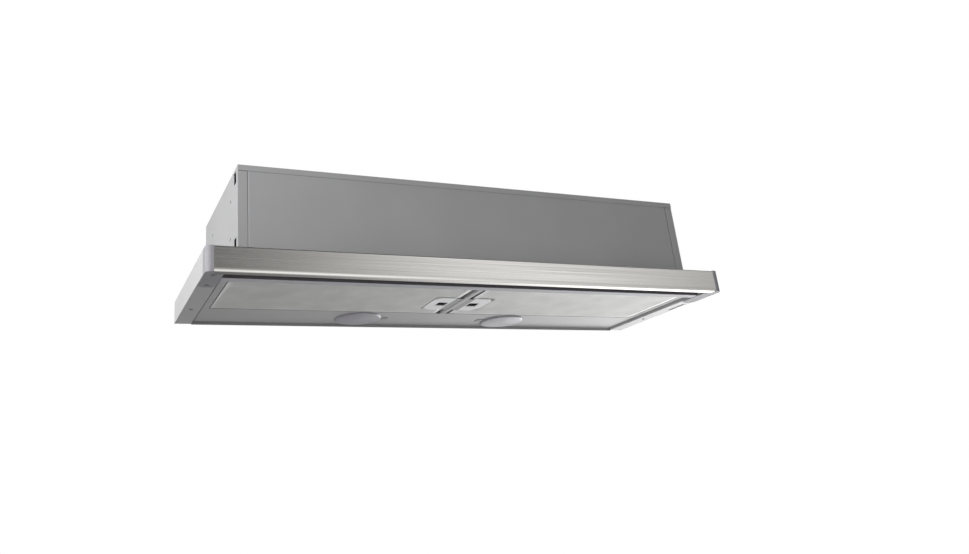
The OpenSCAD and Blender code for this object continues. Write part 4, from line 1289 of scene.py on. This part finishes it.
@dataclass
class Studio:
    """Pale floor, white backdrop, glowing surroundings and soft lamps."""

    ambient: float = 0.03
    glows: Tuple[Glow, ...] = (
        Glow(-95.0, 0.0, 8.0, 7.7), Glow(25.0, 5.0, 3.0, 1.8), Glow(0.0, 90.0, 3.0, 0.4),
    )
    gloss_ambient: float = 0.04
    gloss_glows: Tuple[Glow, ...] = (
        Glow(148.0, 18.0, 44.0, 1.5), Glow(150.0, -4.0, 24.0, 0.65), Glow(150.0, -22.0, 20.0, 0.65),
        Glow(148.0, -50.0, 14.0, 1.2), Glow(110.0, -80.0, 10.0, 1.2), Glow(60.0, -20.0, 12.0, 4.8),
        Glow(-20.0, 20.0, 5.0, 0.7), Glow(215.0, 10.0, 12.0, 0.7), Glow(60.0, 30.0, 6.0, 0.8),
    )
    boxes: Tuple[SoftBox, ...] = (
        SoftBox("left_front_box", (-1.0, -0.8, 0.3), (-0.3, 0.0, 0.1), 0.6, 8.0),
        SoftBox("right_low_box", (1.0, 0.0, -0.45), (0.3, 0.0, 0.0), 0.5, 3.5),
    )
    floor_z: float = -1.0
    floor_radius: float = 7.0
    floor_segments: int = 96
    floor_dark: Colour = (0.64, 0.64, 0.64)
    floor_pale: Colour = (0.68, 0.68, 0.68)

    def build(self) -> None:
        """Set up the world, the lamps and the floor."""
        scene = bpy.context.scene
        scene.view_settings.view_transform = "Standard"
        scene.world = self.surroundings()
        for box in self.boxes:
            self.lamp(box)
        self.floor()

    def surroundings(self) -> bpy.types.World:
        """Light the scene from all round, with a white backdrop.

        Diffuse rays and shiny rays each meet their own glows, and the camera
        sees plain white.

        Returns:
            The world.
        """
        world = bpy.data.worlds.new("studio")
        world.use_nodes = True
        world.node_tree.nodes.clear()
        sky = Wiring(world.node_tree)
        path = sky.node("ShaderNodeLightPath").outputs
        shiny = sky.maths("MAXIMUM", path["Is Glossy Ray"], path["Is Transmission Ray"])
        soft = self.patches(sky, self.ambient, self.glows)
        gloss = self.patches(sky, self.gloss_ambient, self.gloss_glows)
        lit = self.either(sky, shiny, gloss, soft)
        level = self.either(sky, path["Is Camera Ray"], 1.0, lit)
        background = sky.node("ShaderNodeBackground", Color=(1.0, 1.0, 1.0, 1.0), Strength=level)
        sky.node("ShaderNodeOutputWorld", Surface=background)
        return world

    @staticmethod
    def either(sky: Wiring, switch: Socket, on: object, off: object) -> Socket:
        """Take one of two levels by a switch of 1 or 0."""
        return sky.maths("ADD", sky.maths("MULTIPLY", on, switch),
                         sky.maths("MULTIPLY", off, sky.maths("SUBTRACT", 1.0, switch)))

    @staticmethod
    def patches(sky: Wiring, base: float, glows: Sequence[Glow]) -> Socket:
        """Sum of an even level and its bright patches.

        Args:
            sky: The world's tree.
            base: The even level.
            glows: The patches.

        Returns:
            The level's socket.
        """
        direction = sky.node("ShaderNodeTexCoord").outputs["Generated"]
        total: object = base
        for glow in glows:
            dot = sky.node("ShaderNodeVectorMath", {"operation": "DOT_PRODUCT"})
            sky.wire(dot.inputs[0], direction)
            sky.wire(dot.inputs[1], glow.axis())
            lobe = sky.maths("POWER", sky.maths("MAXIMUM", dot.outputs["Value"]), glow.sharpness)
            total = sky.maths("ADD", total, sky.maths("MULTIPLY", lobe, glow.strength))
        return total

    def lamp(self, box: SoftBox) -> None:
        """Add one soft lamp.

        Args:
            box: The lamp.
        """
        data = bpy.data.lights.new(box.name, "AREA")
        data.shape, data.size, data.energy = "DISK", box.size, box.power
        lamp = in_scene(box.name, data)
        aim = Vector(box.target) - Vector(box.place)
        lamp.matrix_world = Matrix.Translation(box.place) @ aim.to_track_quat("-Z", "Y").to_matrix().to_4x4()
        lamp.visible_camera = False
        lamp.visible_glossy = False

    def floor(self) -> None:
        """Lay the pale floor that takes the shadow."""
        shape = bmesh.new()
        bmesh.ops.create_circle(shape, cap_ends=True, segments=self.floor_segments, radius=self.floor_radius,
                                matrix=Matrix.Translation((0.0, 0.0, self.floor_z)))
        mesh = as_mesh(shape, "floor", smooth=False)
        sketch = ShaderSketch("floor_paper")
        sketch.give(Base_Color=sketch.blend(sketch.clouds(scale=3.0), self.floor_dark, self.floor_pale),
                    Roughness=0.9)
        mesh.materials.append(sketch.material)
        floor = in_scene("floor", mesh)
        floor.visible_glossy = False


@dataclass(frozen=True)
class PhotoCamera:
    """Camera at the photograph's viewpoint, below and to the left of the front."""

    place: Point = (-0.62860, -1.23674, -0.34178)
    right: Point = (0.91622474, -0.39218311, -0.08200386)
    down: Point = (0.06898253, 0.35602054, -0.93192853)
    ahead: Point = (0.39468169, 0.84819914, 0.35324861)
    focal_pixels: float = 828.524
    centre_pixels: Tuple[float, float] = (420.947, 210.780)
    image: Tuple[int, int] = (969, 554)
    sensor: float = 36.0

    def build(self) -> None:
        """Create the camera and make it the scene's own."""
        data = bpy.data.cameras.new("photo_camera")
        width, height = self.image
        data.sensor_fit, data.sensor_width = "HORIZONTAL", self.sensor
        data.lens = self.focal_pixels / width * self.sensor
        data.shift_x = (width / 2 - self.centre_pixels[0]) / width
        data.shift_y = (self.centre_pixels[1] - height / 2) / width
        camera = in_scene("photo_camera", data)
        axes = Matrix((self.right, -Vector(self.down), -Vector(self.ahead))).transposed()
        camera.matrix_world = Matrix.Translation(self.place) @ axes.to_4x4()
        bpy.context.scene.camera = camera


def main() -> None:
    """Build the hood, sub-assembly by sub-assembly."""
    logging.basicConfig(level=logging.INFO, format="%(name)s: %(message)s")
    Studio().build()
    PhotoCamera().build()
    workshop = Workshop(Palette(), FrameIndex.read())
    workshop.dress_nodes()
    screws = ScrewRows(workshop)
    Casing(workshop, screws).build()
    PullOutSection(workshop, screws).build()
    Underside(workshop).build()
    strands = strand_plan()
    for side in Side:
        GreaseFilter(workshop, side, strands).build()
        Lamp(workshop, side).build()
    Mechanics(workshop).build()


if __name__ == "__main__":
    main()
